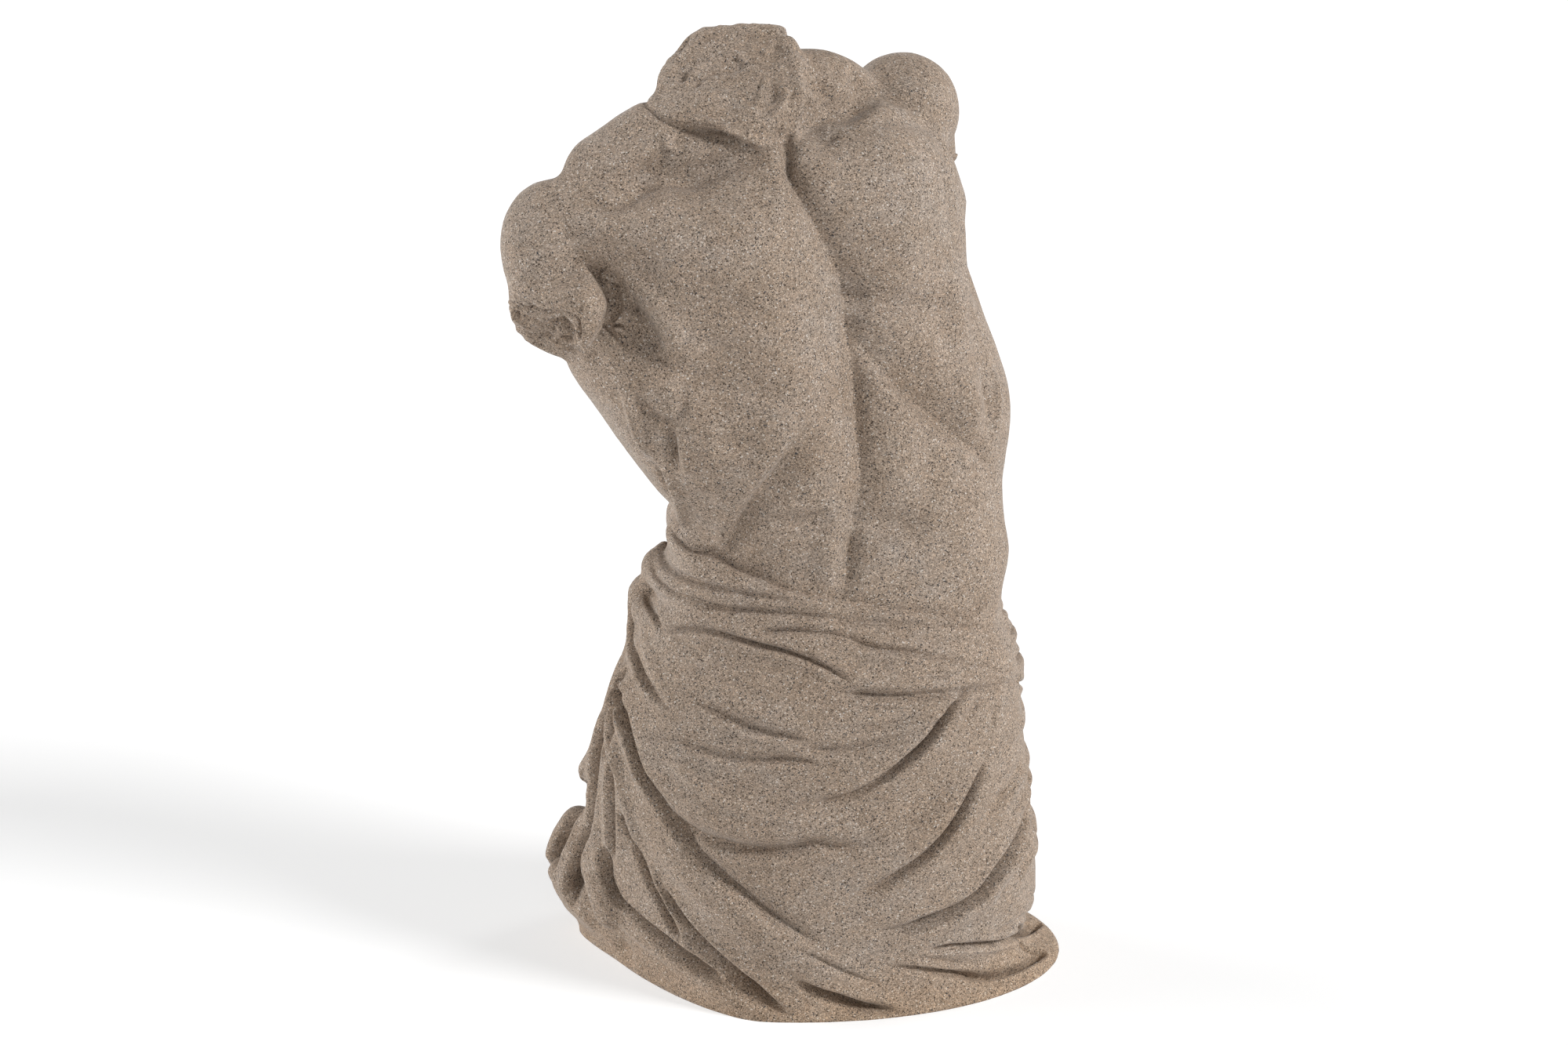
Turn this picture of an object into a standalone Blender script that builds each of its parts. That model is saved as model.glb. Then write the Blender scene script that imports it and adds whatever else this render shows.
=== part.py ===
"""A cast resin torso: a man's bare back above a draped cloth, with the neck and both arms broken off.

One solid. Metres, +Z up, +Y the way the chest faces, -Y the back; the origin is on the floor.
Places on the back are given as they appear from one fixed eye point, in pixels of a 2000 x 1333 picture.
Places on the other sides are given by an angle round the upright axis and a height. Relief sizes are in mm.
"""

import bmesh
import bpy
import numpy as np
from math import cos, pi, radians, sin, tan
from mathutils import Matrix, Vector, noise
from mathutils.bvhtree import BVHTree

# The figure is modelled round its own axis. MIDDLE, the middle of its bounding box, goes to the origin.
MIDDLE = Vector((0.0081, 0.0103, 0.0))
VOXEL = 0.0036
SUBDIVISIONS = 1
SOFTENING = round(6 * (0.0052 / VOXEL) ** 2)
MOST_TRIANGLES = 9500
# The solid stands this much proud of the finished surface.
FULLNESS = 0.0008

EYE_TARGET = Vector((0.0, 0.0, 0.300))
EYE_DISTANCE = 1.80
EYE_PITCH = radians(17)
FOCAL_PIXELS = 3672
PICTURE_CENTRE = (1000, 666)
FORWARD = Vector((0, cos(EYE_PITCH), -sin(EYE_PITCH)))
UPWARD = Vector((0, sin(EYE_PITCH), cos(EYE_PITCH)))
EYE = EYE_TARGET - FORWARD * EYE_DISTANCE

NECK_BREAK = (Vector((-0.033, -0.0175, 0.585)), Vector((-0.05, -0.56, 0.82)))
LEFT_ARM_BREAK = (Vector((-0.1412, -0.072, 0.4429)), Vector((-0.18, -0.70, -0.69)))
NECK_TOP = (Vector((-0.030, 0.010, 0.6108)), Vector((-0.04, 0.34, 1.0)))
RIGHT_ARM_BREAK = (Vector((0.090, 0.068, 0.512)), Vector((0.20, -0.10, -0.97)))

# height, left x, right x, back y, front y, turn, tilt, sag at the back, sag at the front, squareness
TRUNK = (
    (0.150, -0.080, 0.135, -0.080, 0.080, 0, 0, 0, 0, 2.3),
    (0.200, -0.082, 0.139, -0.082, 0.078, 0, 0, 0, 0, 2.3),
    (0.260, -0.070, 0.137, -0.074, 0.068, 2, 0, 0, 0, 2.3),
    (0.283, -0.062, 0.141, -0.071, 0.066, 5, 0, 0, 0, 2.3),
    (0.310, -0.065, 0.137, -0.070, 0.066, 12, 0, 0, 0, 2.3),
    (0.334, -0.083, 0.138, -0.071, 0.070, 18, 0, 0, 0, 2.3),
    (0.360, -0.100, 0.142, -0.073, 0.076, 22, 0, 0, 0, 2.35),
    (0.385, -0.116, 0.140, -0.075, 0.081, 25, 0, 0, 0, 2.4),
    (0.409, -0.131, 0.1315, -0.078, 0.085, 26, 0, 0, 0, 2.4),
    (0.434, -0.136, 0.1225, -0.080, 0.086, 26, 0, 0, 0, 2.4),
    (0.460, -0.135, 0.1145, -0.081, 0.084, 26, 2, 0, 0, 2.4),
    (0.485, -0.125, 0.110, -0.080, 0.078, 26, 5, 0, 0, 2.4),
    (0.510, -0.107, 0.103, -0.075, 0.070, 26, 9, 0, 0, 2.3),
    (0.530, -0.085, 0.086, -0.066, 0.060, 26, 13, 0, 0, 2.2),
    (0.548, -0.050, 0.060, -0.050, 0.045, 26, 16, 0, 0, 2.1),
)
SKIRT = (
    (-0.010, -0.138, 0.1828, -0.088, 0.122, 4.5, 0, 0, 0, 2.05),
    (0.004, -0.138, 0.1808, -0.089, 0.122, 4.5, 0, 0, 0, 2.05),
    (0.010, -0.138, 0.166, -0.088, 0.120, 4, 0, 0, 0, 2.05),
    (0.018, -0.137, 0.157, -0.088, 0.119, 2, 0, 0, 0, 2.05),
    (0.040, -0.136, 0.1635, -0.089, 0.119, 0, 0, 0, 0, 2.1),
    (0.080, -0.130, 0.163, -0.089, 0.110, -3, -2, 0, 0, 2.1),
    (0.120, -0.121, 0.1585, -0.090, 0.102, -3, -4, 0, 0, 2.15),
    (0.160, -0.1115, 0.155, -0.090, 0.096, -2, -7, 0, 0, 2.2),
    (0.200, -0.0975, 0.151, -0.089, 0.091, 0, -10, 0.002, 0.004, 2.2),
    (0.240, -0.076, 0.147, -0.085, 0.084, 1, -13, 0.005, 0.010, 2.2),
    (0.270, -0.072, 0.139, -0.079, 0.074, 2, -14, 0.009, 0.018, 2.2),
)
# At the floor the left back corner of the cloth is pushed in by this much, and at the second height no more.
CORNER = (0.105, 0.150)


def sight(px, py):
    """The direction in which a picture point lies, from the eye."""
    across = (px - PICTURE_CENTRE[0]) / FOCAL_PIXELS
    up = (PICTURE_CENTRE[1] - py) / FOCAL_PIXELS
    return FORWARD + UPWARD * up + Vector((across, 0, 0))


def at_depth(px, py, y):
    """The point seen at (px, py) that lies in the upright plane at depth y."""
    ray = sight(px, py)
    return EYE + ray * ((y - EYE.y) / ray.y)


def through(knots, values, at):
    """A smooth curve through the values at the knots, read at the places given."""
    knots = np.asarray(knots, float)
    values = np.asarray(values, float)
    slopes = np.gradient(values, knots, axis=0)
    i = np.clip(np.searchsorted(knots, at, side="right") - 1, 0, len(knots) - 2)
    span = knots[i + 1] - knots[i]
    t = (at - knots[i]) / span
    if values.ndim > 1:
        t, span = t[:, None], span[:, None]
    a, b = values[i], values[i + 1]
    da, db = slopes[i] * span, slopes[i + 1] * span
    rise = t * t * (3 - 2 * t)
    return a * (1 - rise) + b * rise + da * t * (1 - t) ** 2 + db * t * t * (t - 1)


def tube(bm, rings):
    """Joins closed rings of points into a tube and fills both ends."""
    rings = [[bm.verts.new(point) for point in ring] for ring in rings]
    for low, high in zip(rings, rings[1:]):
        for k in range(len(low)):
            n = (k + 1) % len(low)
            bm.faces.new((low[k], low[n], high[n], high[k]))
    bm.faces.new(list(reversed(rings[0])))
    bm.faces.new(rings[-1])


def loft(bm, stations, corner=(0, 1), rows=70, around=96):
    """A tube of rounded, turned sections whose sides reach exactly the x values given."""
    table = np.array(stations, float)
    at = np.linspace(table[0, 0], table[-1, 0], rows)
    angle = np.linspace(0, 2 * pi, around, endpoint=False)
    c, s = np.cos(angle), np.sin(angle)
    rings = []
    for z, level in zip(at, through(table[:, 0], table[:, 1:], at)):
        left, right, back, front, turn, tilt, dip, droop, square = level
        reach, depth, t = (right - left) / 2, (front - back) / 2, radians(turn)
        half = reach
        for _ in range(6):
            x = half * np.sign(c) * abs(c) ** (2 / square)
            y = depth * np.sign(s) * abs(s) ** (2 / square)
            across, deep = x * cos(t) - y * sin(t), x * sin(t) + y * cos(t)
            half *= reach / across.max()
        sag = dip * np.maximum(-deep / depth, 0) + droop * np.maximum(deep / depth, 0)
        up = z + across * tan(radians(tilt)) - sag
        pushed = corner[0] * max(1 - z / corner[1], 0) * np.clip(-across / reach - 0.25, 0, 1) ** 1.3
        deep = deep + pushed * np.clip(0.5 - 0.8 * deep / depth, 0, 1)
        rings.append(zip((left + right) / 2 + across, (back + front) / 2 + deep, up))
    tube(bm, rings)


def ball(bm, centre, radii, turn=0.0):
    """An ellipsoid, turned by an angle in degrees about the way the chest faces."""
    matrix = Matrix.Translation(centre) @ Matrix.Rotation(radians(turn), 4,
        "Y") @ Matrix.Diagonal((*radii, 1))
    bmesh.ops.create_icosphere(bm, subdivisions=4, radius=1, matrix=matrix)


def limb(bm, points, radii, cuts=(), around=32, steps=40):
    """A round tube along a smooth path, a radius at each point; each cut (point, normal) leaves a flat end."""
    points = np.array([tuple(p) for p in points], float)
    length = np.concatenate([[0], np.cumsum(np.linalg.norm(np.diff(points, axis=0), axis=1))])
    at = np.linspace(0, length[-1], steps)
    path = through(length, points, at)
    width = through(length, np.array(radii, float), at)
    tangent = np.gradient(path, axis=0)
    tangent /= np.linalg.norm(tangent, axis=1)[:, None]
    cap = np.linspace(0, pi / 2, 8)[1:-1]
    first = [(path[0] - tangent[0] * width[0] * cos(a), tangent[0], width[0] * sin(a)) for a in cap]
    last = [(path[-1] + tangent[-1] * width[-1] * cos(a), tangent[-1],
        width[-1] * sin(a)) for a in cap[::-1]]
    side = Vector(tangent[0]).orthogonal().normalized()
    rings = []
    for centre, along, r in first + list(zip(path, tangent, width)) + last:
        along = Vector(along)
        side = (side - along * side.dot(along)).normalized()
        other = along.cross(side)
        turns = [2 * pi * k / around for k in range(around)]
        rings.append([Vector(centre) + (side * cos(a) + other * sin(a)) * r for a in turns])
    piece = bmesh.new()
    tube(piece, rings)
    for cut in cuts:
        trim(piece, *cut)
    joined = bpy.data.meshes.new("limb")
    piece.to_mesh(joined)
    piece.free()
    bm.from_mesh(joined)
    bpy.data.meshes.remove(joined)


def chest(u, w, z):
    """A point in the chest's own frame: u to the figure's right, w to the front of the chest."""
    turn = radians(26)
    return Vector((-0.0095 + u * cos(turn) - w * sin(turn), 0.0015 + u * sin(turn) + w * cos(turn), z))


def trim(bm, point, normal):
    """Cuts away what lies beyond a plane and closes the cut."""
    parts = list(bm.verts) + list(bm.edges) + list(bm.faces)
    bmesh.ops.bisect_plane(bm, geom=parts, plane_co=point, plane_no=normal, clear_outer=True)
    rim = [edge for edge in bm.edges if edge.is_boundary]
    bmesh.ops.contextual_create(bm, geom=rim)


def masses(bm):
    """The large forms, each closed, overlapping where they meet."""
    loft(bm, TRUNK)
    loft(bm, SKIRT, CORNER)
    # left shoulder and its short arm
    ball(bm, at_depth(702, 314, -0.054), (0.030, 0.036, 0.040))
    arm = at_depth(708, 305, -0.052), at_depth(708, 370, -0.064), at_depth(706, 450, -0.072)
    limb(bm, arm, (0.030, 0.0275, 0.0270), cuts=(LEFT_ARM_BREAK,))
    flap = (712, 366, -0.074), (747, 384, -0.088), (751, 408, -0.092), (744, 442, -0.092)
    limb(bm, [at_depth(*p) for p in flap], (0.016, 0.0130, 0.0100, 0.0045))
    limb(bm, (at_depth(772, 236, -0.040), at_depth(746, 246, -0.046)), (0.018, 0.0155), steps=8)
    blade = at_depth(725, 292, -0.052), at_depth(790, 292, -0.060), at_depth(860, 300, -0.064)
    limb(bm, blade, (0.030, 0.030, 0.028))
    # right shoulder and its short arm
    ball(bm, at_depth(1150, 140, 0.050), (0.036, 0.040, 0.036))
    limb(bm, (Vector((0.076, 0.052, 0.552)), Vector((0.085, 0.064, 0.530)), Vector((0.088, 0.072,
        0.480))),
         (0.032, 0.0265, 0.0245), cuts=(RIGHT_ARM_BREAK,))
    blade = at_depth(1095, 190, 0.010), at_depth(1150, 210, 0.020), at_depth(1180, 260, 0.020)
    limb(bm, blade, (0.034, 0.030, 0.026))
    # slopes from the neck to the shoulders
    slope = at_depth(925, 175, -0.020), at_depth(850, 190, -0.028), at_depth(775, 225, -0.038)
    limb(bm, slope, (0.034, 0.032, 0.027))
    slope = at_depth(985, 145, 0.000), at_depth(1038, 126, 0.016), at_depth(1092, 145, 0.032)
    limb(bm, slope, (0.032, 0.031, 0.026))
    # chest and collar bones
    limb(bm, (chest(-0.040, 0.044, 0.452), chest(-0.080, 0.046, 0.460), chest(-0.128, 0.020, 0.480)),
        (0.044, 0.042, 0.030))
    limb(bm, (chest(0.034, 0.044, 0.470), chest(0.066, 0.044, 0.486), chest(0.096, 0.016, 0.530)),
        (0.044, 0.042, 0.032))
    limb(bm, (chest(-0.020, 0.036, 0.512), chest(-0.070, 0.036, 0.502), chest(-0.128, 0.018, 0.488)),
        (0.022, 0.022, 0.026))
    limb(bm, (chest(0.010, 0.036, 0.520), chest(0.048, 0.028, 0.536), chest(0.090, 0.008, 0.550)),
        (0.024, 0.024, 0.026))
    # neck
    neck = at_depth(958, 200, 0.000), at_depth(937, 140, -0.012), at_depth(932, 60, -0.020)
    limb(bm, neck, (0.040, 0.0445, 0.0448), cuts=(NECK_BREAK, NECK_TOP))
    throat = Vector((-0.026, 0.020, 0.500)), Vector((-0.030, 0.017, 0.560)), Vector((-0.031, 0.014,
        0.630))
    limb(bm, throat, (0.038, 0.034, 0.033), cuts=(NECK_BREAK, NECK_TOP))
    # cloth rolled over both hips, and gathered at the left side
    falls = (
        (
            ((870, 645, 0.022), (866, 665, -0.005), (868, 690, -0.032), (888, 715, -0.047),
            (930, 735, -0.059),
             (985, 752, -0.069), (1050, 764, -0.074)),
            (0.005, 0.008, 0.0085, 0.0085, 0.008, 0.0075, 0.005),
        ),
        (
            ((852, 698, 0.032), (834, 718, 0.008), (840, 735, -0.010), (868, 750, -0.039),
            (920, 762, -0.059),
             (985, 771, -0.070), (1060, 778, -0.075)),
            (0.006, 0.0085, 0.0085, 0.008, 0.0075, 0.007, 0.005),
        ),
        (
            ((838, 730, 0.036), (817, 752, 0.015), (817, 775, -0.002), (850, 789, -0.030),
            (900, 797, -0.055),
             (970, 800, -0.071), (1060, 803, -0.078)),
            (0.006, 0.0085, 0.008, 0.0075, 0.007, 0.006, 0.004),
        ),
        (((814, 780, 0.000), (812, 805, 0.005), (814, 830, 0.010)), (0.006, 0.006, 0.004)),
        (((1230, 850, -0.050), (1280, 850, -0.010), (1288, 846, 0.030), (1270, 838, 0.060)),
        (0.006, 0.009, 0.010, 0.006)),
        (((1240, 800, -0.045), (1274, 800, -0.005), (1276, 798, 0.035)), (0.005, 0.008, 0.006)),
        (((790, 930, 0.000), (766, 972, 0.012), (752, 982, 0.020), (796, 1000, 0.050)),
        (0.013, 0.010, 0.007, 0.008)),
        (((735, 1045, 0.050), (720, 1078, 0.055), (727, 1122, 0.045), (758, 1158, 0.030)),
        (0.010, 0.011, 0.012, 0.012)),
        (((750, 1042, 0.030), (735, 1085, 0.034), (728, 1126, 0.030), (760, 1165, 0.016)),
        (0.008, 0.008, 0.009, 0.012)),
        (((785, 1000, 0.010), (778, 1060, 0.004), (762, 1105, 0.002), (775, 1160, -0.005)),
        (0.011, 0.011, 0.011, 0.012)),
        (
            ((850, 1098, 0.104), (785, 1116, 0.090), (742, 1134, 0.060), (757, 1160, 0.028),
            (806, 1196, -0.002),
             (854, 1237, -0.030), (900, 1262, -0.048), (958, 1274, -0.060)),
            (0.006, 0.011, 0.015, 0.0130, 0.013, 0.0125, 0.0115, 0.009),
        ),
    )
    for places, radii in falls:
        limb(bm, [at_depth(*p) for p in places], radii)


def fused(name, bm):
    """One skin round all the masses, softened at the joins and flat underneath."""
    mesh = bpy.data.meshes.new(name)
    bm.to_mesh(mesh)
    bm.free()
    obj = bpy.data.objects.new(name, mesh)
    bpy.context.scene.collection.objects.link(obj)
    skin = obj.modifiers.new("skin", "REMESH")
    skin.mode, skin.voxel_size = "VOXEL", VOXEL
    blend = obj.modifiers.new("blend", "SMOOTH")
    blend.factor, blend.iterations = 0.5, SOFTENING
    finer = obj.modifiers.new("finer", "SUBSURF")
    finer.levels = finer.render_levels = SUBDIVISIONS
    made = bpy.data.meshes.new_from_object(obj.evaluated_get(bpy.context.evaluated_depsgraph_get()))
    obj.modifiers.clear()
    obj.data = made
    level = bmesh.new()
    level.from_mesh(made)
    trim(level, Vector((0, 0, 0)), Vector((0, 0, -1)))
    level.to_mesh(made)
    level.free()
    return obj


class Relief:
    """Heights to be raised or sunk along the normals of a skin, gathered stroke by stroke."""

    def __init__(self, obj):
        mesh = obj.data
        count = len(mesh.vertices)
        self.mesh = mesh
        self.points = np.empty(count * 3)
        mesh.vertices.foreach_get("co", self.points)
        self.points = self.points.reshape(-1, 3)
        self.normals = np.empty(count * 3)
        mesh.vertices.foreach_get("normal", self.normals)
        self.normals = self.normals.reshape(-1, 3)
        self.rise = np.zeros(count)
        self.tree = BVHTree.FromPolygons(
            [Vector(p) for p in self.points], [tuple(f.vertices) for f in mesh.polygons]
        )

    def seen(self, px, py):
        """The point of the skin seen at a picture point, or the nearest to that line of sight."""
        ray = sight(px, py)
        hit = self.tree.ray_cast(EYE, ray)[0]
        return hit or self.tree.find_nearest(EYE + ray * 1.76)[0]

    def around(self, angle, z, x=0.01, y=0.0):
        """The point of the skin at a height, at an angle round the axis: 0 at the back, 90 at the right."""
        out = Vector((sin(radians(angle)), -cos(radians(angle)), 0))
        axis = Vector((x, y, z))
        hit = self.tree.ray_cast(axis + out * 0.5, -out)[0]
        return hit or self.tree.find_nearest(axis + out * 0.1)[0]

    def trail(self, places, step=0.0025):
        """A line of points on the skin, smoothly through the places given."""
        knots = [self.seen(*p) if len(p) == 2 else p for p in places]
        knots = np.array([tuple(k) for k in knots])
        length = np.concatenate([[0], np.cumsum(np.linalg.norm(np.diff(knots, axis=0), axis=1))])
        at = np.linspace(0, length[-1], max(int(length[-1] / step), 4))
        found = [self.tree.find_nearest(Vector(p))[:2] for p in through(length, knots, at)]
        self.marks = length / length[-1]
        return np.array([tuple(f[0]) for f in found]), np.array([tuple(f[1]) for f in found]), length[-1]

    def beside(self, places, reach):
        """For the vertices within reach: index, signed distance (left is positive), part of the way."""
        line, facing, length = self.trail(places)
        low, high = line.min(0) - reach, line.max(0) + reach
        near = np.flatnonzero(((self.points > low) & (self.points < high)).all(1))
        start, run = line[:-1], np.diff(line, axis=0)
        square = (run**2).sum(1)
        best = np.full(len(near), np.inf)
        side, way = np.zeros(len(near)), np.zeros(len(near))
        here = self.points[near]
        for k in range(len(run)):
            offset = here - start[k]
            t = np.clip(offset @ run[k] / square[k], 0, 1)
            gap = offset - t[:, None] * run[k]
            d = (gap**2).sum(1)
            closer = d < best
            best[closer] = d[closer]
            way[closer] = (k + t[closer]) / len(run)
            side[closer] = np.sign(np.cross(run[k], gap[closer]) @ facing[k])
        toward = (self.normals[near] * facing[np.minimum((way * len(run)).astype(int), len(run))]).sum(1)
        distance = np.sqrt(best)
        keep = (distance < reach) & (toward > 0)
        return near[keep], (side * distance)[keep], way[keep], length

    def crease(self, places, depth, width=4.0, above=(0, 12), below=(0, 12), ends=0.25):
        """A sharp valley. Its banks can rise to a lip: (height, reach) above and below, going right."""
        widths = width if isinstance(width, tuple) else (width, width)
        reach = max(*widths, above[1] if above[0] else 0, below[1] if below[0] else 0) / 1000
        near, d, way, _ = self.beside(places, reach)
        fade = np.clip(np.minimum(way, 1 - way) / ends, 0, 1)
        fade = np.sqrt(fade * (2 - fade))
        d = d * 1000
        cut = np.where(d > 0, widths[0], widths[1]) * (0.45 + 0.55 * fade)
        rise = -depth * np.clip(1 - abs(d) / cut, 0, 1) ** 2
        for (height, far), sign in ((above, 1), (below, -1)):
            u = np.clip(d * sign / far, 0, 1)
            rise += height * 6.75 * u * (1 - u) ** 2
        self.rise[near] += rise * fade / 1000

    def fold(self, knots, lip=(0, 12), foot=(0, 12), soft=0.1, core=(0, 3)):
        """A valley that varies along its way. A knot is a place, a depth and the left and right widths.

        The banks can rise to a rounded lip (left of the way) or foot (right of it),
            given as height and reach,
        and the bottom can have a narrow core, given as depth and width.
        """
        places, depths, lefts, rights = zip(*knots)
        reach = max(*lefts, *rights, lip[1] if lip[0] else 0, foot[1] if foot[0] else 0) / 1000
        near, d, way, _ = self.beside(places, reach)
        depth = np.interp(way, self.marks, depths)
        bank = np.where(d > 0, np.interp(way, self.marks, lefts), np.interp(way, self.marks, rights))
        d = d * 1000
        u = np.minimum(np.sqrt((d / bank) ** 2 + soft**2) - soft, 1)
        share = depth / max(depths)
        rise = -depth * (1 - u) ** 2 - core[0] * share * np.clip(1 - abs(d) / core[1], 0, 1) ** 2
        for (height, far), sign in ((lip, 1), (foot, -1)):
            v = np.clip(d * sign / far, 0, 1)
            rise += height * share * 6.75 * v * (1 - v) ** 2
        self.rise[near] += rise / 1000

    def ridge(self, places, height, width, ends=0.3):
        """A rounded ridge of a given half width, or a rounded valley if the height is negative."""
        near, d, way, _ = self.beside(places, width / 1000)
        fade = np.clip(np.minimum(way, 1 - way) / ends, 0, 1)
        fade = fade * fade * (3 - 2 * fade)
        x = np.clip(abs(d) * 1000 / width, 0, 1)
        self.rise[near] += height / 1000 * fade * (1 - x * x) ** 2

    def swell(self, place, radii, height, turn=0.0):
        """A rounded mound, or a hollow if the height is negative, turned clockwise in degrees."""
        centre = self.seen(*place) if len(place) == 2 else place
        centre, normal = self.tree.find_nearest(centre)[:2]
        up = (Vector((0, 0, 1)) - normal * normal.z).normalized()
        across = up.cross(normal)
        t = radians(turn)
        u, v = across * cos(t) - up * sin(t), across * sin(t) + up * cos(t)
        offset = (self.points - np.array(centre)) * 1000
        r2 = (offset @ np.array(u) / radii[0]) ** 2 + (offset @ np.array(v) / radii[1]) ** 2
        r2 += (offset @ np.array(normal) / max(radii)) ** 2
        near = (r2 < 1) & (self.normals @ np.array(normal) > 0)
        self.rise[near] += height / 1000 * (1 - r2[near]) ** 2

    def rough(self, point, normal, radius, thickness, coarse, fine):
        """A broken face: uneven, with small hollows, near a plane and within a radius of its point."""
        offset = self.points - np.array(point)
        level = offset @ np.array(normal.normalized())
        near = np.flatnonzero((abs(level) < thickness) & ((offset**2).sum(1) < radius**2))
        for k in near:
            spot = Vector(self.points[k])
            edge = 1 - (offset[k] ** 2).sum() / radius**2
            swell = noise.noise(spot * 55) * coarse + noise.noise(spot * 140) * fine
            pit = max(noise.noise(spot * 210 + Vector((3, 1, 2))) - 0.1, 0) * -2.0 * fine
            self.rise[k] += (swell + pit) * min(edge * 4, 1) / 1000

    def apply(self):
        """Moves the skin and sets its underside flat on the floor."""
        moved = self.points + self.normals * (self.rise + FULLNESS)[:, None]
        moved[:, 2] = np.where(self.points[:, 2] < 1e-5, 0, np.maximum(moved[:, 2], 0))
        self.mesh.vertices.foreach_set("co", moved.ravel())
        self.mesh.update()


def back_anatomy(r):
    """Muscle and bone of the bare back, as seen."""
    # furrow over the spine: a sharp floor, a broad bank on the right and a fuller one on the left
    r.fold((
        ((998, 160), 0, 8, 7), ((1003, 186), 7, 11, 7), ((1005, 212), 10, 15, 8),
        ((1022, 243), 11, 22, 18),
        ((1038, 270), 12, 24, 26), ((1056, 300), 13, 26, 34), ((1074, 338), 13, 26, 38),
        ((1091, 378), 12, 26, 40),
        ((1089, 405), 11, 24, 42), ((1091, 432), 11, 24, 42), ((1096, 462), 9.5, 22, 38),
        ((1098, 500), 8, 18, 32),
        ((1099, 550), 6.5, 15, 28), ((1101, 600), 5, 16, 26), ((1099, 632), 5, 22, 20),
        ((1091, 665), 6, 26, 14),
        ((1084, 700), 5.5, 18, 11), ((1079, 738), 4.5, 13, 10), ((1074, 762), 0, 8, 8)), soft=0.08)
    r.fold((
        ((1000, 176), 0, 5, 4), ((1006, 205), 4, 8, 5), ((1024, 240), 4, 10, 6),
        ((1050, 288), 2.5, 14, 8), ((1074, 336), 3, 16, 8),
        ((1092, 378), 4, 18, 8), ((1090, 410), 2.5, 14, 8), ((1096, 460), 2.5, 14, 8),
        ((1100, 520), 3, 9, 7),
        ((1101, 575), 3, 9, 7), ((1101, 620), 1.5, 9, 7), ((1092, 662), 3, 14, 7),
        ((1083, 705), 2.5, 8, 6),
        ((1080, 745), 0, 6, 6)), soft=0.12)
    r.ridge(((945, 250), (962, 330), (982, 410), (1000, 490), (1012, 570), (1022, 640)), 7, 42, 0.2)
    r.ridge(((1140, 495), (1148, 545), (1150, 600), (1142, 650)), 4, 19)
    r.swell((1056, 712), (13, 23), 4.5, 6)
    r.swell((1025, 668), (34, 12), -5, -4)
    r.swell((1132, 670), (24, 14), -6)
    # under the neck: a roll of muscle that hangs over the shoulders
    r.fold((
        ((812, 126), 0, 4, 4), ((828, 136), 2.5, 4, 5), ((846, 150), 4, 5, 8), ((868, 160), 6, 5, 16),
        ((892, 165), 10, 5, 15),
        ((925, 174), 11, 5, 13), ((948, 184), 6, 5, 9), ((972, 194), 0, 5, 7)), lip=(3, 9), soft=0.08)
    r.swell((864, 178), (7, 9), -4)
    r.ridge(((876, 150), (915, 160), (950, 172)), 2, 4)
    r.ridge(((838, 158), (848, 178), (858, 198)), 2.5, 5)
    r.ridge(((935, 168), (968, 182), (992, 202)), 3, 9)
    # left shoulder blade, with the valley above it and the hollow below
    r.fold((
        ((736, 238), 0, 6, 6), ((754, 252), 3, 10, 10), ((774, 261), 8, 13, 13), ((806, 243), 9, 12, 15),
        ((832, 216), 7, 9, 14), ((848, 194), 3, 6, 9), ((860, 182), 0, 5, 7)), soft=0.25)
    r.fold((((842, 226), 0, 7, 9), ((880, 216), 1.6, 7, 10), ((930, 208), 1.2, 7, 10),
        ((972, 200), 0, 6, 8)), soft=0.3)
    r.ridge(((755, 232), (790, 208), (822, 188), (846, 168)), 3, 12)
    r.swell((885, 312), (56, 44), 7, -20)
    r.ridge(((722, 300), (745, 280), (772, 286), (810, 296)), 2.5, 13)
    r.swell((735, 287), (9, 8), 2)
    r.swell((754, 268), (8, 7), 1.5)
    r.swell((828, 350), (17, 22), -5, 15)
    r.ridge(((792, 334), (814, 364), (838, 400), (858, 436), (872, 470)), 3.5, 11, 0.25)
    r.fold((
        ((845, 452), 0, 12, 12), ((878, 480), 3.5, 16, 20), ((925, 498), 3, 20, 22),
        ((985, 498), 0, 16, 16)), soft=0.3)
    # left armpit, the flank set back behind the arm
    r.fold((
        ((756, 344), 0, 5, 3), ((776, 360), 12, 7, 5), ((796, 384), 20, 8, 11),
        ((812, 404), 23, 8, 19), ((830, 434), 22, 8, 32),
        ((843, 456), 14, 7, 34), ((856, 478), 0, 6, 18)), lip=(1.5, 8), soft=0.06, core=(4, 8))
    r.swell((790, 420), (20, 21), -12)
    r.swell((772, 432), (12, 12), -6)
    r.fold((((754, 452), 0, 5, 4), ((785, 460), 3, 8, 6), ((820, 466), 3, 8, 6),
        ((850, 474), 0, 5, 4)), foot=(1.5, 12), soft=0.2)
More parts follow.
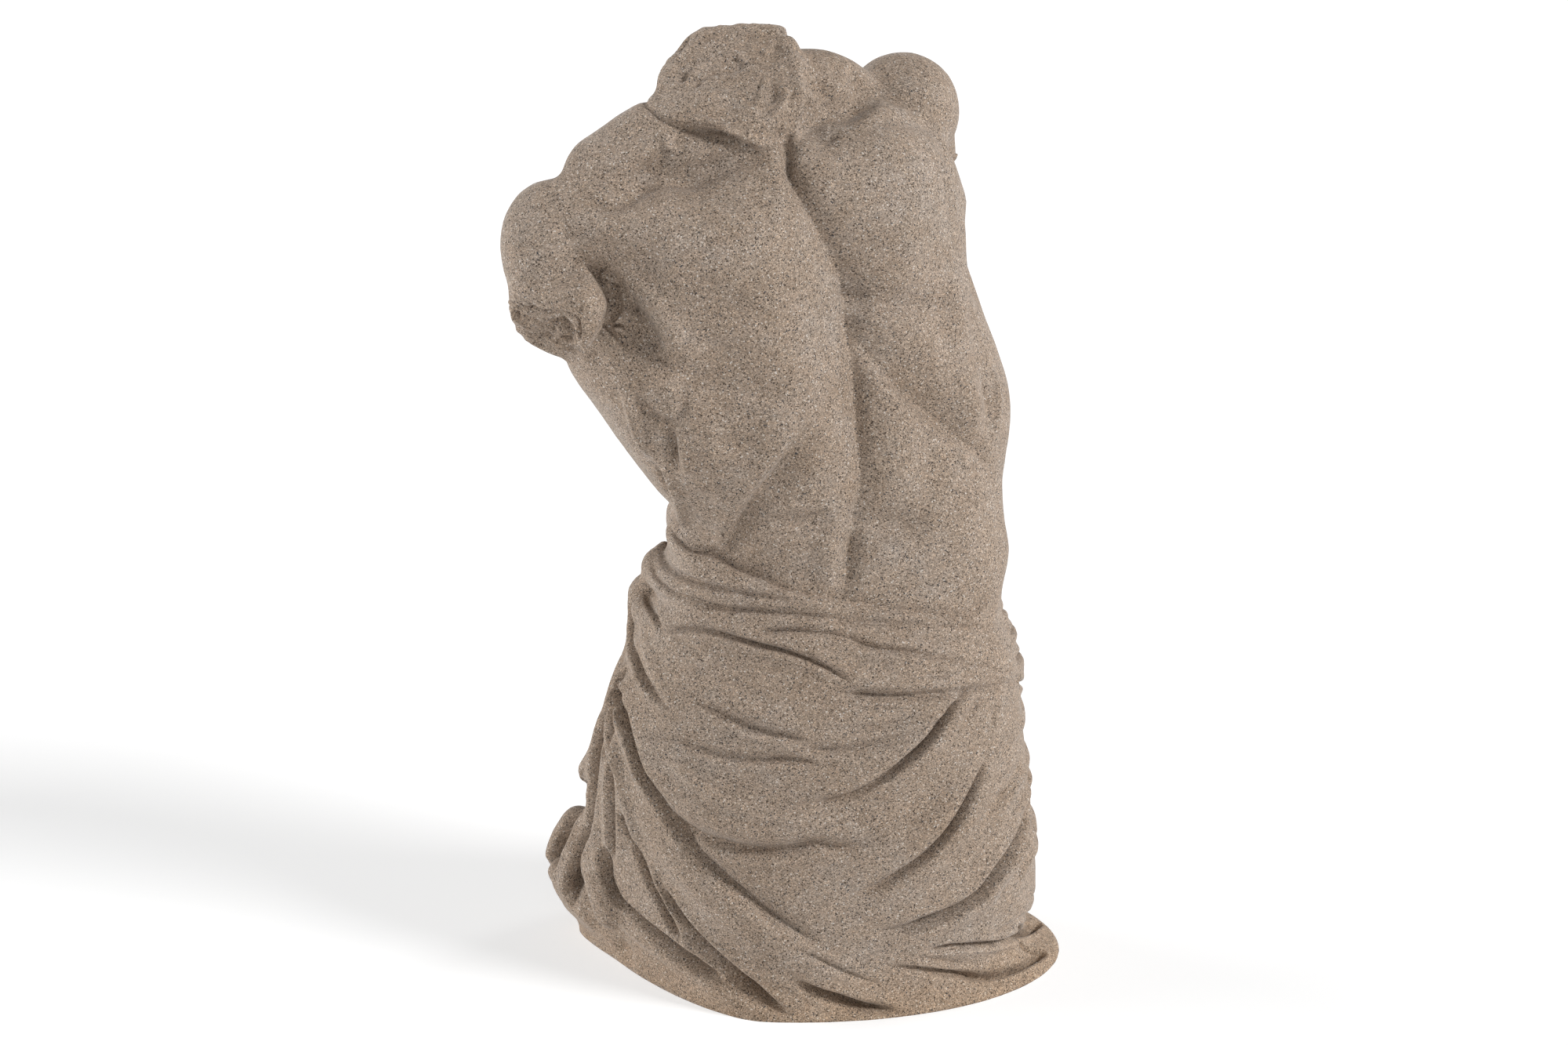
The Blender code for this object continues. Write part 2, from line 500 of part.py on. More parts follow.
    # left ribs and flank
    r.ridge(((798, 486), (806, 520), (816, 552), (832, 588)), 5, 7)
    r.ridge(((838, 578), (852, 606), (864, 638), (876, 668), (890, 698)), 4.5, 8)
    r.ridge(((868, 548), (872, 580), (884, 606)), 2.5, 7)
    r.fold((((808, 496), 0, 4, 4), ((818, 514), 3.5, 6, 6), ((836, 531), 4, 7, 7),
        ((856, 541), 4, 7, 7), ((872, 520), 2.5, 6, 6),
            ((872, 492), 0, 5, 5)), soft=0.12)
    r.fold((((852, 540), 0, 5, 5), ((857, 560), 8, 7, 7), ((860, 582), 8, 7, 7),
        ((864, 600), 0, 6, 6)), soft=0.12)
    r.fold((((836, 588), 0, 4, 4), ((846, 608), 4.5, 6, 6), ((858, 632), 4, 6, 6),
        ((868, 655), 0, 5, 5)), soft=0.12)
    r.fold((
        ((1026, 536), 0, 14, 10), ((1006, 570), 6, 20, 12), ((990, 600), 9, 24, 12),
        ((964, 634), 6.5, 20, 10),
        ((946, 664), 9, 18, 9), ((932, 694), 4, 14, 7), ((926, 716), 0, 8, 8)), foot=(3, 14), soft=0.2)
    r.swell((905, 585), (32, 44), 4)
    r.swell((925, 452), (22, 14), -2.5, 20)
    r.swell((940, 566), (16, 11), -2.5)
    r.swell((898, 636), (14, 12), -2.5)
    r.swell((972, 500), (18, 10), -2)
    r.swell((940, 395), (26, 14), -2, 30)
    # right shoulder
    r.fold((
        ((1084, 80), 0, 8, 8), ((1094, 100), 5, 14, 10), ((1090, 130), 4, 14, 10),
        ((1068, 158), 0, 10, 10)), soft=0.3)
    r.fold((
        ((1022, 152), 0, 8, 10), ((1055, 170), 6.5, 8, 15), ((1082, 158), 4.5, 9, 12),
        ((1120, 151), 4.5, 10, 11),
        ((1160, 154), 3.5, 8, 10), ((1196, 168), 2, 6, 8), ((1212, 190), 2.5, 6, 7),
        (r.around(82, 0.530), 2, 5, 6)), soft=0.3)
    r.swell((1056, 171), (10, 9), -3)
    r.ridge(((1016, 104), (1034, 124), (1056, 142)), 2.5, 7)
    r.ridge(((1048, 122), (1072, 116), (1092, 106)), 2, 10)
    # right shoulder blade and flank
    r.swell((1158, 262), (46, 62), 6, 12)
    r.ridge(((1178, 178), (1196, 205), (1212, 245), (1220, 290)), 3, 9)
    r.ridge(((1184, 162), (1204, 184), (1214, 214)), 1.8, 4)
    r.fold((
        ((1086, 380), 2, 12, 9), ((1112, 388), 6, 16, 9), ((1140, 391), 6, 16, 10),
        ((1175, 392), 4.5, 15, 12),
        ((1212, 396), 2.5, 14, 12), ((1240, 400), 0, 10, 10)), foot=(2.5, 16), soft=0.2)
    r.swell((1106, 384), (10, 9), -2)
    r.swell((1118, 330), (22, 40), -3.5, -25)
    r.ridge(((1118, 412), (1150, 420), (1178, 440), (1205, 474), (1230, 510), (1255, 545)), 4, 18, 0.2)
    r.fold((
        ((1096, 424), 0, 16, 14), ((1118, 456), 6, 22, 14), ((1148, 492), 7.5, 20, 12),
        ((1183, 524), 6.5, 18, 12),
        ((1215, 552), 5.5, 17, 13), ((1250, 578), 4.5, 15, 14),
        ((1282, 592), 0, 12, 12)), foot=(2.5, 18), soft=0.16)
    r.swell((1215, 660), (44, 52), 5)
    r.swell((1165, 672), (14, 16), -2.5)
    r.ridge(((1258, 455), (1270, 490), (1272, 530), (1266, 570)), 3, 6)
    r.fold((((1250, 462), 0, 5, 5), ((1258, 500), 2.5, 5, 7), ((1260, 545), 0, 5, 6)), soft=0.2)


def front_anatomy(r):
    """Chest and belly, plainer. The chest is turned 26 degrees to the figure's left of the hips."""
    r.ridge([r.around(*p) for p in ((207, 0.530), (206, 0.490), (205, 0.440),
        (204, 0.405))], -7, 16, 0.15)
    r.ridge([r.around(*p) for p in ((204, 0.415), (202, 0.375), (198, 0.335), (192, 0.300),
        (186, 0.265))], -4, 11, 0.1)
    for side in (-1, 1):
        lift = 0.012 * (1 - side) / 2
        lower = ((209, 0.420), (222, 0.414), (238, 0.424), (252, 0.446))
        line = [r.around(206 + (a - 206) * side, z + lift) for a, z in lower]
        r.crease(line[::side], 3.5, 9, (4, 24), ends=0.3)
        arch = ((207, 0.402), (218, 0.386), (230, 0.362), (240, 0.334))
        r.ridge([r.around(206 + (a - 206) * side, z) for a, z in arch], 4, 13)
        flank = ((238, 0.400), (231, 0.360), (224, 0.320), (212, 0.284))
        r.ridge([r.around(206 + (a - 206) * side - 6, z) for a, z in flank], -4.5, 14)
        r.swell(r.around(198 + 54 * side, 0.312), (40, 44), 6)
        for z in (0.394, 0.366, 0.338, 0.306):
            middle = 203 - (0.394 - z) * 130
            r.swell(r.around(middle + 12 * side, z - 0.013), (20, 17), 4)
        for k in range(4):
            r.swell(r.around(206 + (54 - 2 * k) * side, 0.428 - 0.024 * k + lift),
                (22, 10), 3.5, 25 * side)
    r.ridge([r.around(a, z) for a, z in ((208, 0.533), (224, 0.530), (246, 0.522))], 4, 9)
    r.ridge([r.around(a, z) for a, z in ((202, 0.536), (186, 0.552), (164, 0.568))], 4, 9)
    r.swell(r.around(192, 0.309), (6, 7), -7)
    r.swell(r.around(205, 0.538), (13, 10), -6)
    # right side, under the arm
    r.ridge([r.around(*p) for p in ((84, 0.470), (80, 0.430), (76, 0.385), (72, 0.340))], 4, 17)
    r.ridge([r.around(*p) for p in ((112, 0.500), (104, 0.465), (98, 0.430))], -6, 20)
    r.ridge([r.around(*p) for p in ((88, 0.330), (120, 0.300), (150, 0.272))], -3, 14)


def cloth_band(r):
    """The rolled top of the cloth and the wrap below it, with the same band carried round the front."""
    r.fold((
        ((852, 664), 0, 5, 4), ((868, 688), 2, 6, 4), ((884, 700), 1.5, 5, 4), ((912, 706), 4, 7, 4),
        ((935, 721), 4, 8, 4),
        ((970, 736), 4.5, 8, 4), ((1005, 750), 4, 8, 4), ((1080, 765), 2.5, 8, 4),
        ((1170, 782), 2.5, 8, 4),
        ((1230, 784), 2.5, 7, 4), ((1282, 776), 2, 6, 4)), foot=(2.5, 10), soft=0.12)
    r.fold((
        ((846, 694), 0, 4, 4), ((850, 718), 3, 4, 5), ((874, 735), 3.5, 5, 5), ((910, 748), 4, 5, 5),
        ((950, 756), 3.5, 5, 4),
        ((990, 761), 2, 5, 4), ((1040, 768), 0, 4, 4)), lip=(1.2, 8), foot=(1.8, 8), soft=0.1)
    r.fold((
        ((830, 716), 0, 4, 4), ((842, 742), 4, 5, 4), ((858, 756), 4.5, 5, 4),
        ((885, 765), 4.5, 5, 4), ((915, 774), 4.5, 5, 4), ((960, 779), 5, 5, 4), ((990, 781), 4, 5, 4),
        ((1050, 787), 3, 5, 4), ((1120, 794), 2, 5, 4), ((1200, 798), 1.6, 4, 4),
        ((1290, 800), 1.2, 4, 4)),
        lip=(1, 7), foot=(1.6, 8), soft=0.15)
    r.fold((
        ((822, 762), 0, 3, 3), ((827, 774), 3, 4, 3), ((834, 788), 5, 4, 4), ((841, 797), 3, 4, 4),
        ((850, 806), 0, 4, 4)),
        foot=(1, 7), soft=0.1)
    r.fold((
        ((840, 800), 0, 6, 6), ((865, 802), 3, 9, 5), ((890, 802), 3, 9, 5), ((920, 808), 4.5, 6, 4),
        ((950, 817), 5.5, 4.5, 3.5),
        ((1000, 830), 5.5, 4.5, 3.5), ((1035, 842), 4.5, 4.5, 3.5), ((1060, 853), 2.5, 4, 3.5),
        ((1095, 880), 0, 4, 4)),
        lip=(2.5, 15), foot=(3, 9), soft=0.04, core=(2, 2.5))
    r.ridge(((1040, 838), (1062, 846), (1088, 860)), 1.8, 4)
    r.fold((
        ((962, 807), 0, 4, 4), ((985, 805), 4, 4, 4), ((1015, 804), 3.5, 5, 4),
        ((1050, 807), 2.5, 5, 4), ((1080, 813), 2.5, 5, 4),
        ((1110, 824), 4, 6, 4), ((1160, 831), 3.5, 6, 4), ((1215, 843), 2, 5, 5),
        ((1296, 862), 1, 5, 5)), lip=(1.5, 10), foot=(2, 10), soft=0.12)
    r.fold((
        ((1062, 884), 0, 6, 5), ((1100, 887), 6.5, 11, 5), ((1140, 889), 6, 9, 4),
        ((1190, 886), 4.5, 8, 4), ((1240, 880), 3, 6, 4),
        ((1298, 868), 2, 6, 4)), lip=(3, 20), foot=(2.2, 8), soft=0.1)
    r.crease(((1000, 790), (1070, 797), (1150, 812), (1220, 818), (1290, 825)), 1.4, 4)
    r.crease(((1100, 850), (1160, 860), (1230, 862), (1290, 868)), 1.4, 4)
    r.crease(((860, 812), (885, 828), (902, 850)), 1.6, 5)
    # the long fold at the left edge of the wrap
    r.ridge(((818, 768), (818, 800), (826, 836), (842, 872), (866, 905)), 4.5, 9, 0.2)
    r.fold((
        ((804, 752), 0, 5, 4), ((802, 780), 6, 6, 5), ((806, 815), 6, 7, 5), ((816, 845), 9, 8, 5),
        ((828, 872), 9, 9, 6),
        ((846, 892), 3, 8, 6), ((866, 908), 0, 6, 6)), foot=(2.5, 10), soft=0.1)


def cloth_swags(r):
    """Folds hung across the back, from the left hip to the right."""
    r.fold((
        ((870, 890), 0, 9, 7), ((900, 900), 2.5, 12, 7), ((925, 912), 4, 12, 7),
        ((960, 928), 4, 9, 5), ((985, 936), 4, 8, 4),
        ((1015, 942), 3, 7, 4), ((1035, 947), 0, 6, 4)), lip=(2.5, 20), foot=(2.6, 12), soft=0.2)
    r.fold((
        ((826, 936), 0, 6, 6), ((858, 942), 2.5, 9, 7), ((890, 952), 3, 9, 6), ((925, 964), 4, 9, 5),
        ((955, 969), 4, 9, 5),
        ((1000, 969), 4.5, 8, 4), ((1030, 971), 4, 7, 4),
        ((1048, 974), 0, 6, 4)), lip=(2, 16), foot=(1.8, 12), soft=0.18)
    r.fold((
        ((1008, 954), 0, 6, 6), ((1045, 957), 4.5, 9, 6), ((1085, 956), 3.5, 8, 6),
        ((1130, 946), 3, 7, 5), ((1170, 932), 2.2, 6, 5),
        ((1205, 912), 1.5, 5, 4), ((1230, 892), 0, 4, 4)), lip=(1.6, 14), foot=(1.6, 12), soft=0.12)
    r.fold((
        ((1045, 928), 0, 5, 5), ((1100, 928), 1.6, 5, 5), ((1150, 921), 2, 6, 5),
        ((1190, 908), 2, 5, 5), ((1228, 890), 0, 4, 4)),
        lip=(1, 9), foot=(1, 8), soft=0.15)
    # the deep fold under the right hip
    r.fold((
        ((985, 1030), 0, 5, 4), ((1050, 1022), 1.5, 5, 4), ((1095, 1010), 3, 5, 3.5),
        ((1120, 996), 6, 4, 3), ((1150, 974), 9, 4.5, 3.5),
        ((1175, 951), 11, 5, 4), ((1195, 928), 9, 4, 3.5), ((1210, 908), 7, 3.5, 3),
        ((1224, 890), 3, 3, 3), ((1240, 874), 0, 3, 3)),
        lip=(3.5, 24), foot=(4.5, 20), soft=0.03, core=(8, 4))
    r.fold((
        ((1222, 924), 0, 5, 5), ((1236, 912), 3, 7, 6), ((1250, 896), 3, 7, 6),
        ((1262, 880), 0, 5, 5)), foot=(1.2, 8), soft=0.15)
    r.fold((((1262, 940), 0, 4, 4), ((1268, 915), 2.5, 5, 5), ((1272, 892), 0, 4, 4)), soft=0.2)
    r.ridge(((846, 956), (866, 976), (895, 1004), (930, 1026), (985, 1040), (1060, 1044)), 3.2, 7, 0.2)
    r.ridge(((856, 1002), (885, 1030), (925, 1050), (1000, 1058), (1080, 1048)), 3, 12)
    r.fold((
        ((852, 1036), 0, 8, 8), ((880, 1062), 6, 18, 9), ((920, 1077), 7, 15, 8),
        ((960, 1086), 8, 14, 8), ((1010, 1084), 7, 13, 8),
        ((1040, 1076), 5, 12, 8), ((1070, 1084), 6, 13, 8), ((1105, 1076), 3.5, 12, 8),
        ((1150, 1048), 0, 8, 8)),
        lip=(3, 22), foot=(2.5, 14), soft=0.14)
    # the two long folds that climb to the right hip
    r.fold((
        ((1080, 1142), 0, 9, 7), ((1120, 1130), 3, 11, 6), ((1150, 1112), 5, 8, 5),
        ((1180, 1090), 7, 5, 4), ((1205, 1064), 8, 5, 4),
        ((1224, 1036), 8, 4.5, 3.5), ((1238, 1010), 6, 4, 3.5), ((1250, 986), 4, 4, 3.5),
        ((1262, 958), 1.5, 5, 4),
        ((1276, 930), 0, 5, 5)), lip=(3, 22), foot=(4.5, 20), soft=0.05, core=(7, 4))
    r.fold((
        ((1105, 1186), 0, 8, 6), ((1145, 1188), 4, 12, 6), ((1188, 1174), 9, 9, 5),
        ((1222, 1158), 12, 8, 5), ((1250, 1138), 15, 9, 6),
        ((1270, 1112), 16, 10, 7), ((1286, 1090), 13, 10, 8), (r.around(84, 0.118), 4, 10, 8),
        (r.around(98, 0.150), 0, 8, 8)),
        lip=(3, 20), foot=(4.5, 18), soft=0.08, core=(7, 6))
    r.fold((((1255, 1040), 0, 6, 6), ((1275, 1020), 3, 8, 8), ((1295, 990), 3, 8, 8),
        ((1304, 960), 0, 6, 6)), foot=(2, 14), soft=0.3)
    r.fold((((1130, 1060), 0, 8, 8), ((1160, 1040), 2.5, 10, 9), ((1190, 1010), 2.5, 10, 9),
        ((1210, 975), 0, 8, 8)), soft=0.4)
    r.fold((((1262, 1196), 0, 4, 4), ((1282, 1186), 6, 6, 4), ((1300, 1175), 4, 5, 4),
        ((1314, 1170), 0, 4, 4)), foot=(1.4, 7))
    r.fold((((1232, 1192), 0, 4, 4), ((1252, 1178), 2.5, 5, 5), ((1266, 1166), 0, 4, 4)), foot=(1, 7))
    r.fold((
        ((1182, 1213), 0, 5, 4), ((1205, 1209), 5, 7, 5), ((1240, 1207), 7, 8, 5),
        ((1272, 1203), 9, 8, 5), ((1300, 1191), 9, 8, 4),
        ((1324, 1179), 7, 7, 4), (r.around(84, 0.062), 0, 5, 4)), lip=(2, 9), foot=(1, 8), soft=0.06)
    r.fold((((1160, 1222), 0, 4, 4), ((1185, 1224), 2.2, 5, 4), ((1215, 1229), 2.5, 6, 5),
        ((1255, 1230), 0, 4, 4)), foot=(1.2, 8))
    r.fold((
        ((1130, 1232), 0, 5, 4), ((1165, 1236), 4, 7, 5), ((1215, 1242), 6, 9, 5),
        ((1265, 1244), 8, 9, 5), ((1300, 1233), 8, 9, 4),
        ((1330, 1215), 6, 8, 4), (r.around(78, 0.040), 0, 5, 4)), lip=(1.6, 9), foot=(1, 8), soft=0.06)


def cloth_fall(r):
    """The broad fold that runs down from the left hip, and the gathered cloth outside it."""
    r.fold((
        ((800, 850), 0, 4, 3), ((793, 866), 6, 5, 4), ((792, 888), 11, 7, 5),
        ((797, 910), 11, 6, 4.5), ((803, 935), 9.5, 5, 4),
        ((810, 960), 9, 5, 4), ((819, 986), 8, 6, 4), ((833, 1011), 6, 9, 5), ((850, 1036), 5, 14, 6),
        ((872, 1064), 5, 17, 7),
        ((896, 1094), 4.5, 17, 7), ((922, 1120), 5.5, 17, 7), ((950, 1143), 5.5, 17, 7),
        ((980, 1166), 5.5, 16, 7), ((1008, 1184), 4, 14, 7),
        ((1045, 1205), 0, 8, 7)), lip=(1.5, 20), foot=(4.5, 14), soft=0.08, core=(5, 3.5))
    r.ridge(((792, 1000), (815, 1036), (845, 1074), (882, 1116), (930, 1160), (990, 1206),
        (1060, 1246), (1140, 1272)), 5, 19)
    r.ridge(((776, 880), (780, 925), (788, 965), (802, 1000)), 3, 6)
    # holes and small folds at the left edge
    r.fold((((772, 936), 0, 4, 4), ((773, 948), 8, 6, 6), ((774, 962), 8, 6, 6),
        ((777, 974), 0, 4, 4)), soft=0.1)
    r.fold((((786, 962), 0, 4, 4), ((796, 977), 3, 5, 5), ((808, 1000), 0, 4, 4)), soft=0.1)
    r.fold((
        ((788, 1024), 0, 4, 4), ((797, 1050), 5, 5, 5), ((808, 1076), 6, 6, 5),
        ((818, 1100), 13, 6, 6), ((830, 1125), 15, 6, 7),
        ((843, 1152), 13, 6, 6), ((855, 1178), 10, 5, 5), ((868, 1200), 0, 4, 4)), soft=0.05, core=(5, 4))
    r.ridge(((824, 1092), (838, 1122), (852, 1152), (872, 1182), (898, 1210)), 3, 4.5)
    r.fold((
        ((842, 1128), 0, 4, 4), ((856, 1150), 9, 5, 6), ((876, 1180), 14, 6, 11),
        ((898, 1206), 17, 7, 18), ((928, 1234), 18, 7, 20),
        ((958, 1258), 16, 7, 15), ((985, 1280), 9, 6, 9),
        ((1010, 1296), 0, 6, 6)), lip=(2, 10), soft=0.04, core=(6, 5))
    r.fold((
        ((770, 1074), 0, 4, 4), ((772, 1094), 7, 5, 5), ((775, 1120), 9, 5, 6),
        ((790, 1146), 9, 5, 6), ((816, 1172), 10, 5, 6),
        ((846, 1198), 12, 6, 8), ((876, 1222), 13, 6, 8), ((902, 1242), 8, 5, 6),
        ((922, 1254), 0, 4, 4)), foot=(2.5, 12), soft=0.05,
        core=(5, 4))
    r.ridge(((752, 1112), (764, 1142), (792, 1172), (830, 1204), (866, 1232), (900, 1254)), 3, 8)
    r.fold((
        ((755, 1036), 0, 4, 4), ((751, 1056), 9, 6, 6), ((745, 1085), 13, 8, 8),
        ((738, 1115), 13, 8, 8), ((732, 1142), 8, 6, 6),
        ((728, 1160), 0, 4, 4)), soft=0.08)
    r.fold((((722, 1052), 0, 3, 3), ((716, 1070), 6, 5, 5), ((709, 1094), 5, 5, 5),
        ((706, 1112), 0, 3, 3)), soft=0.1)
    r.ridge(((730, 1052), (728, 1078), (720, 1110)), 2.5, 4)
    r.ridge(((762, 1046), (760, 1080), (757, 1112)), 3, 4.5)
    # lower edge of the fold, and the folded corner beneath it
    r.fold((((1000, 1200), 0, 4, 4), ((1040, 1219), 3, 5, 4), ((1085, 1241), 3.2, 5, 4),
        ((1130, 1258), 0, 4, 4)),
           lip=(1.5, 10), foot=(1, 8), soft=0.1)
    r.fold((
        ((1012, 1246), 0, 5, 4), ((1040, 1262), 9, 6, 7), ((1068, 1272), 11, 6, 9),
        ((1096, 1282), 12, 6, 9), ((1122, 1286), 8, 6, 7),
        ((1146, 1288), 0, 5, 5)), lip=(1.5, 12), soft=0.05, core=(5, 4))
    r.ridge(((965, 1238), (1000, 1252), (1030, 1268)), 2, 6)


def cloth_front(r):
    """The other sides of the cloth: the same band, swags and hanging folds, plainer."""
    edge = ((84, 0.246), (115, 0.232), (150, 0.232), (180, 0.238), (210, 0.252), (240, 0.275),
        (262, 0.296))
    for drop, depth in ((0.001, 3), (0.014, 3.5), (0.030, 4), (0.044, 3)):
        line = [r.around(a, z - drop * (1.1 - 0.25 * cos(radians(a)))) for a, z in edge]
        r.crease(line, depth, 5, (1.5, 9), (2, 10), 0.06)
    swags = (
        (((96, 0.196), (125, 0.180), (160, 0.177), (196, 0.192)), 5, 20),
        (((140, 0.151), (172, 0.147), (206, 0.165), (236, 0.206), (258, 0.237)), 8, 26),
        (((98, 0.152), (125, 0.124), (156, 0.113), (188, 0.119)), 7, 24),
        (((144, 0.080), (176, 0.078), (210, 0.099), (240, 0.151), (262, 0.204)), 9, 28),
        (((100, 0.098), (128, 0.067), (160, 0.052), (192, 0.057)), 7, 22),
        (((150, 0.022), (180, 0.025), (212, 0.046), (240, 0.096), (259, 0.156)), 8, 24),
        (((198, 0.136), (220, 0.162), (242, 0.200)), 3.5, 14),
        (((110, 0.122), (134, 0.101), (160, 0.096)), 3.5, 12),
        (((214, 0.068), (232, 0.098), (247, 0.134)), 4, 14),
        (((112, 0.048), (138, 0.033), (160, 0.030)), 3, 12),
    )
    for line, depth, bulge in swags:
        r.crease([r.around(a, z) for a, z in line], depth, (11, 7), (0.45 * depth, bulge),
            (0.3 * depth, 18), 0.35)
    falls = (
        ((262, 0.235), (264, 0.170), (258, 0.100), (252, 0.040)),
        ((272, 0.210), (272, 0.150), (266, 0.090), (262, 0.035)),
        ((283, 0.190), (281, 0.130), (277, 0.080)),
    )
    for line in falls:
        r.crease([r.around(a, z) for a, z in line], 9, (10, 8), (3, 16), (3, 16), 0.35)


def breaks(r):
    """The broken neck and arms: low ridges, hollows and pits on nearly flat faces."""
    r.rough(*NECK_BREAK, 0.050, 0.006, 3.0, 0.6)
    r.ridge(((1013, 72), (1018, 95), (1020, 135), (1017, 175), (1008, 194)), 3, 4, 0.2)
    r.ridge(((866, 116), (884, 96), (905, 79), (930, 73), (962, 69)), 2.4, 3.5)
    r.ridge(((938, 70), (948, 78), (962, 83)), 1.8, 3)
    r.ridge(((972, 70), (988, 50)), 2.8, 3)
    r.ridge(((981, 88), (972, 112), (966, 142)), 2.2, 4)
    r.ridge(((974, 148), (992, 138), (1006, 128), (1000, 104)), 2.6, 4)
    r.swell((872, 98), (8, 7), -3.5)
    r.fold((((996, 84), 0, 3, 3), ((990, 104), 4, 5, 4), ((985, 122), 4, 4, 5),
        ((976, 142), 0, 3, 3)), soft=0.15)
    r.swell((996, 66), (6, 8), -2.5)
    r.swell((905, 128), (20, 16), 1.5)
    r.swell((982, 36), (7, 6), 2)
    r.rough(*LEFT_ARM_BREAK, 0.028, 0.005, 2.5, 2.0)
    r.fold((((652, 396), 0, 4, 4), ((672, 391), 4, 4, 6), ((700, 393), 5, 4, 7),
        ((728, 402), 6, 4, 7), ((740, 412), 0, 3, 5)),
           lip=(1, 5), soft=0.1)
    r.swell((726, 411), (6, 9), -10, -10)
    r.swell((724, 429), (6, 5), -8)
    r.swell((658, 402), (4, 6), -6, -20)
    r.swell((682, 428), (6, 4), -3, 30)
    r.swell((700, 422), (5, 4), -2.5)
    r.ridge(((664, 408), (684, 420), (705, 430), (722, 440)), 1.5, 3)
    r.rough(*RIGHT_ARM_BREAK, 0.022, 0.005, 3.0, 2.0)


def carved(r):
    back_anatomy(r)
    front_anatomy(r)
    cloth_band(r)
    cloth_swags(r)
    cloth_fall(r)
    cloth_front(r)
    breaks(r)


def faceted(obj, most):
    """Fewer, larger facets, as many as a plain solid needs."""
    triangles = sum(len(face.vertices) - 2 for face in obj.data.polygons)
    fewer = obj.modifiers.new("facets", "DECIMATE")
    fewer.ratio = most / triangles
    made = bpy.data.meshes.new_from_object(obj.evaluated_get(bpy.context.evaluated_depsgraph_get()))
    obj.modifiers.clear()
    obj.data = made
    shape = bmesh.new()
    shape.from_mesh(made)
    for vert in shape.verts:
        if vert.co.z < 0.0006:
            vert.co.z = 0
    bmesh.ops.triangulate(shape, faces=shape.faces)
    shape.to_mesh(made)
    shape.free()


def stone():
    material = bpy.data.materials.new("sand cast")
    material.use_nodes = True
    surface = material.node_tree.nodes["Principled BSDF"]
    surface.inputs["Base Color"].default_value = (0.33, 0.27, 0.22, 1)
    surface.inputs["Roughness"].default_value = 0.92
    surface.inputs["Metallic"].default_value = 0
    return material


def main():
    for obj in list(bpy.data.objects):
        bpy.data.objects.remove(obj)
    bm = bmesh.new()
    masses(bm)
    torso = fused("torso", bm)
    relief = Relief(torso)
    carved(relief)
    relief.apply()
    faceted(torso, MOST_TRIANGLES)
    torso.data.transform(Matrix.Translation(-MIDDLE))
    torso.data.materials.append(stone())
    torso.data.shade_smooth()


main()
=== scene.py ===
"""The finished look of a cast resin torso: a man's bare back above draped cloth, like worn stone."""

from math import cos, pi, radians, sin, tan

import bmesh
import bpy
import numpy as np
from mathutils import Matrix, Vector, noise
from mathutils.bvhtree import BVHTree


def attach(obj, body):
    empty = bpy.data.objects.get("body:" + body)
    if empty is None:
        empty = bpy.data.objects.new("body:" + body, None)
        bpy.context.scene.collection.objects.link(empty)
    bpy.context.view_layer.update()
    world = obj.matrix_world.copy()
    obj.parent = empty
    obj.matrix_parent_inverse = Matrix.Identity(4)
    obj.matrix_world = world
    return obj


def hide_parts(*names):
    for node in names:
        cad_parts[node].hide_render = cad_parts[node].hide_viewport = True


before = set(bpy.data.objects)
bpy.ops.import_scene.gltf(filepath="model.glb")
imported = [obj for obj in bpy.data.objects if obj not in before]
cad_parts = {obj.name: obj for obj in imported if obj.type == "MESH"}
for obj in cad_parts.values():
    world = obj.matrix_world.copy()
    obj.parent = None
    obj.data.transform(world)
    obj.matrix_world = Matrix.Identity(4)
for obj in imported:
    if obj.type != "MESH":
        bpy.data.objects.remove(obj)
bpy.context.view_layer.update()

# The figure is modelled round its own axis. MIDDLE, the middle of its bounding box, goes to the origin.
MIDDLE = Vector((0.0081, 0.0103, 0.0))

# The skin: its voxel in metres, coarse and fine, of which the fine one is used here, and the passes that
# soften it, which reach equally far at either voxel.
COARSE, FINE = 0.0052, 0.0022
VOXEL = FINE
COARSE_PASSES = 6
SOFTENING = round(COARSE_PASSES * (COARSE / VOXEL) ** 2)
SUBDIVISIONS = 1
MOST_TRIANGLES = 198000

# the eye that looks at the figure, and the picture it sees, in pixels
EYE_TARGET = Vector((0.0, 0.0, 0.300))
EYE_DISTANCE = 1.80
EYE_PITCH = radians(17)
FOCAL_PIXELS = 3672
PICTURE_SIZE = (2000, 1333)
PICTURE_CENTRE = (1000, 666)
FORWARD = Vector((0, cos(EYE_PITCH), -sin(EYE_PITCH)))
UPWARD = Vector((0, sin(EYE_PITCH), cos(EYE_PITCH)))
EYE = EYE_TARGET - FORWARD * EYE_DISTANCE
# about how far the back is from the eye
SKIN_DISTANCE = 1.76

# the upright lines that angles run round: that of the whole figure and that of the throat
AXIS = (0.01, 0.0)
THROAT_AXIS = (-0.030, 0.006)

# planes that cut the neck and the arms: a point and the way out
NECK_BREAK = (Vector((-0.033, -0.0175, 0.585)), Vector((-0.05, -0.56, 0.82)))
NECK_TOP = (Vector((-0.030, 0.010, 0.6095)), Vector((-0.04, 0.34, 1.0)))
NECK_CORNER = (Vector((-0.0605, 0.005, 0.5975)), Vector((-0.66, 0.0, 0.75)))
LEFT_ARM_BREAK = (Vector((-0.1412, -0.072, 0.4429)), Vector((-0.25, -0.69, -0.68)))
RIGHT_ARM_BREAK = (Vector((0.090, 0.068, 0.512)), Vector((0.20, -0.10, -0.97)))

# how far the chest is turned from the hips, in degrees, and the angle of its middle line
CHEST_TURN = 26
MIDLINE = 180 + CHEST_TURN

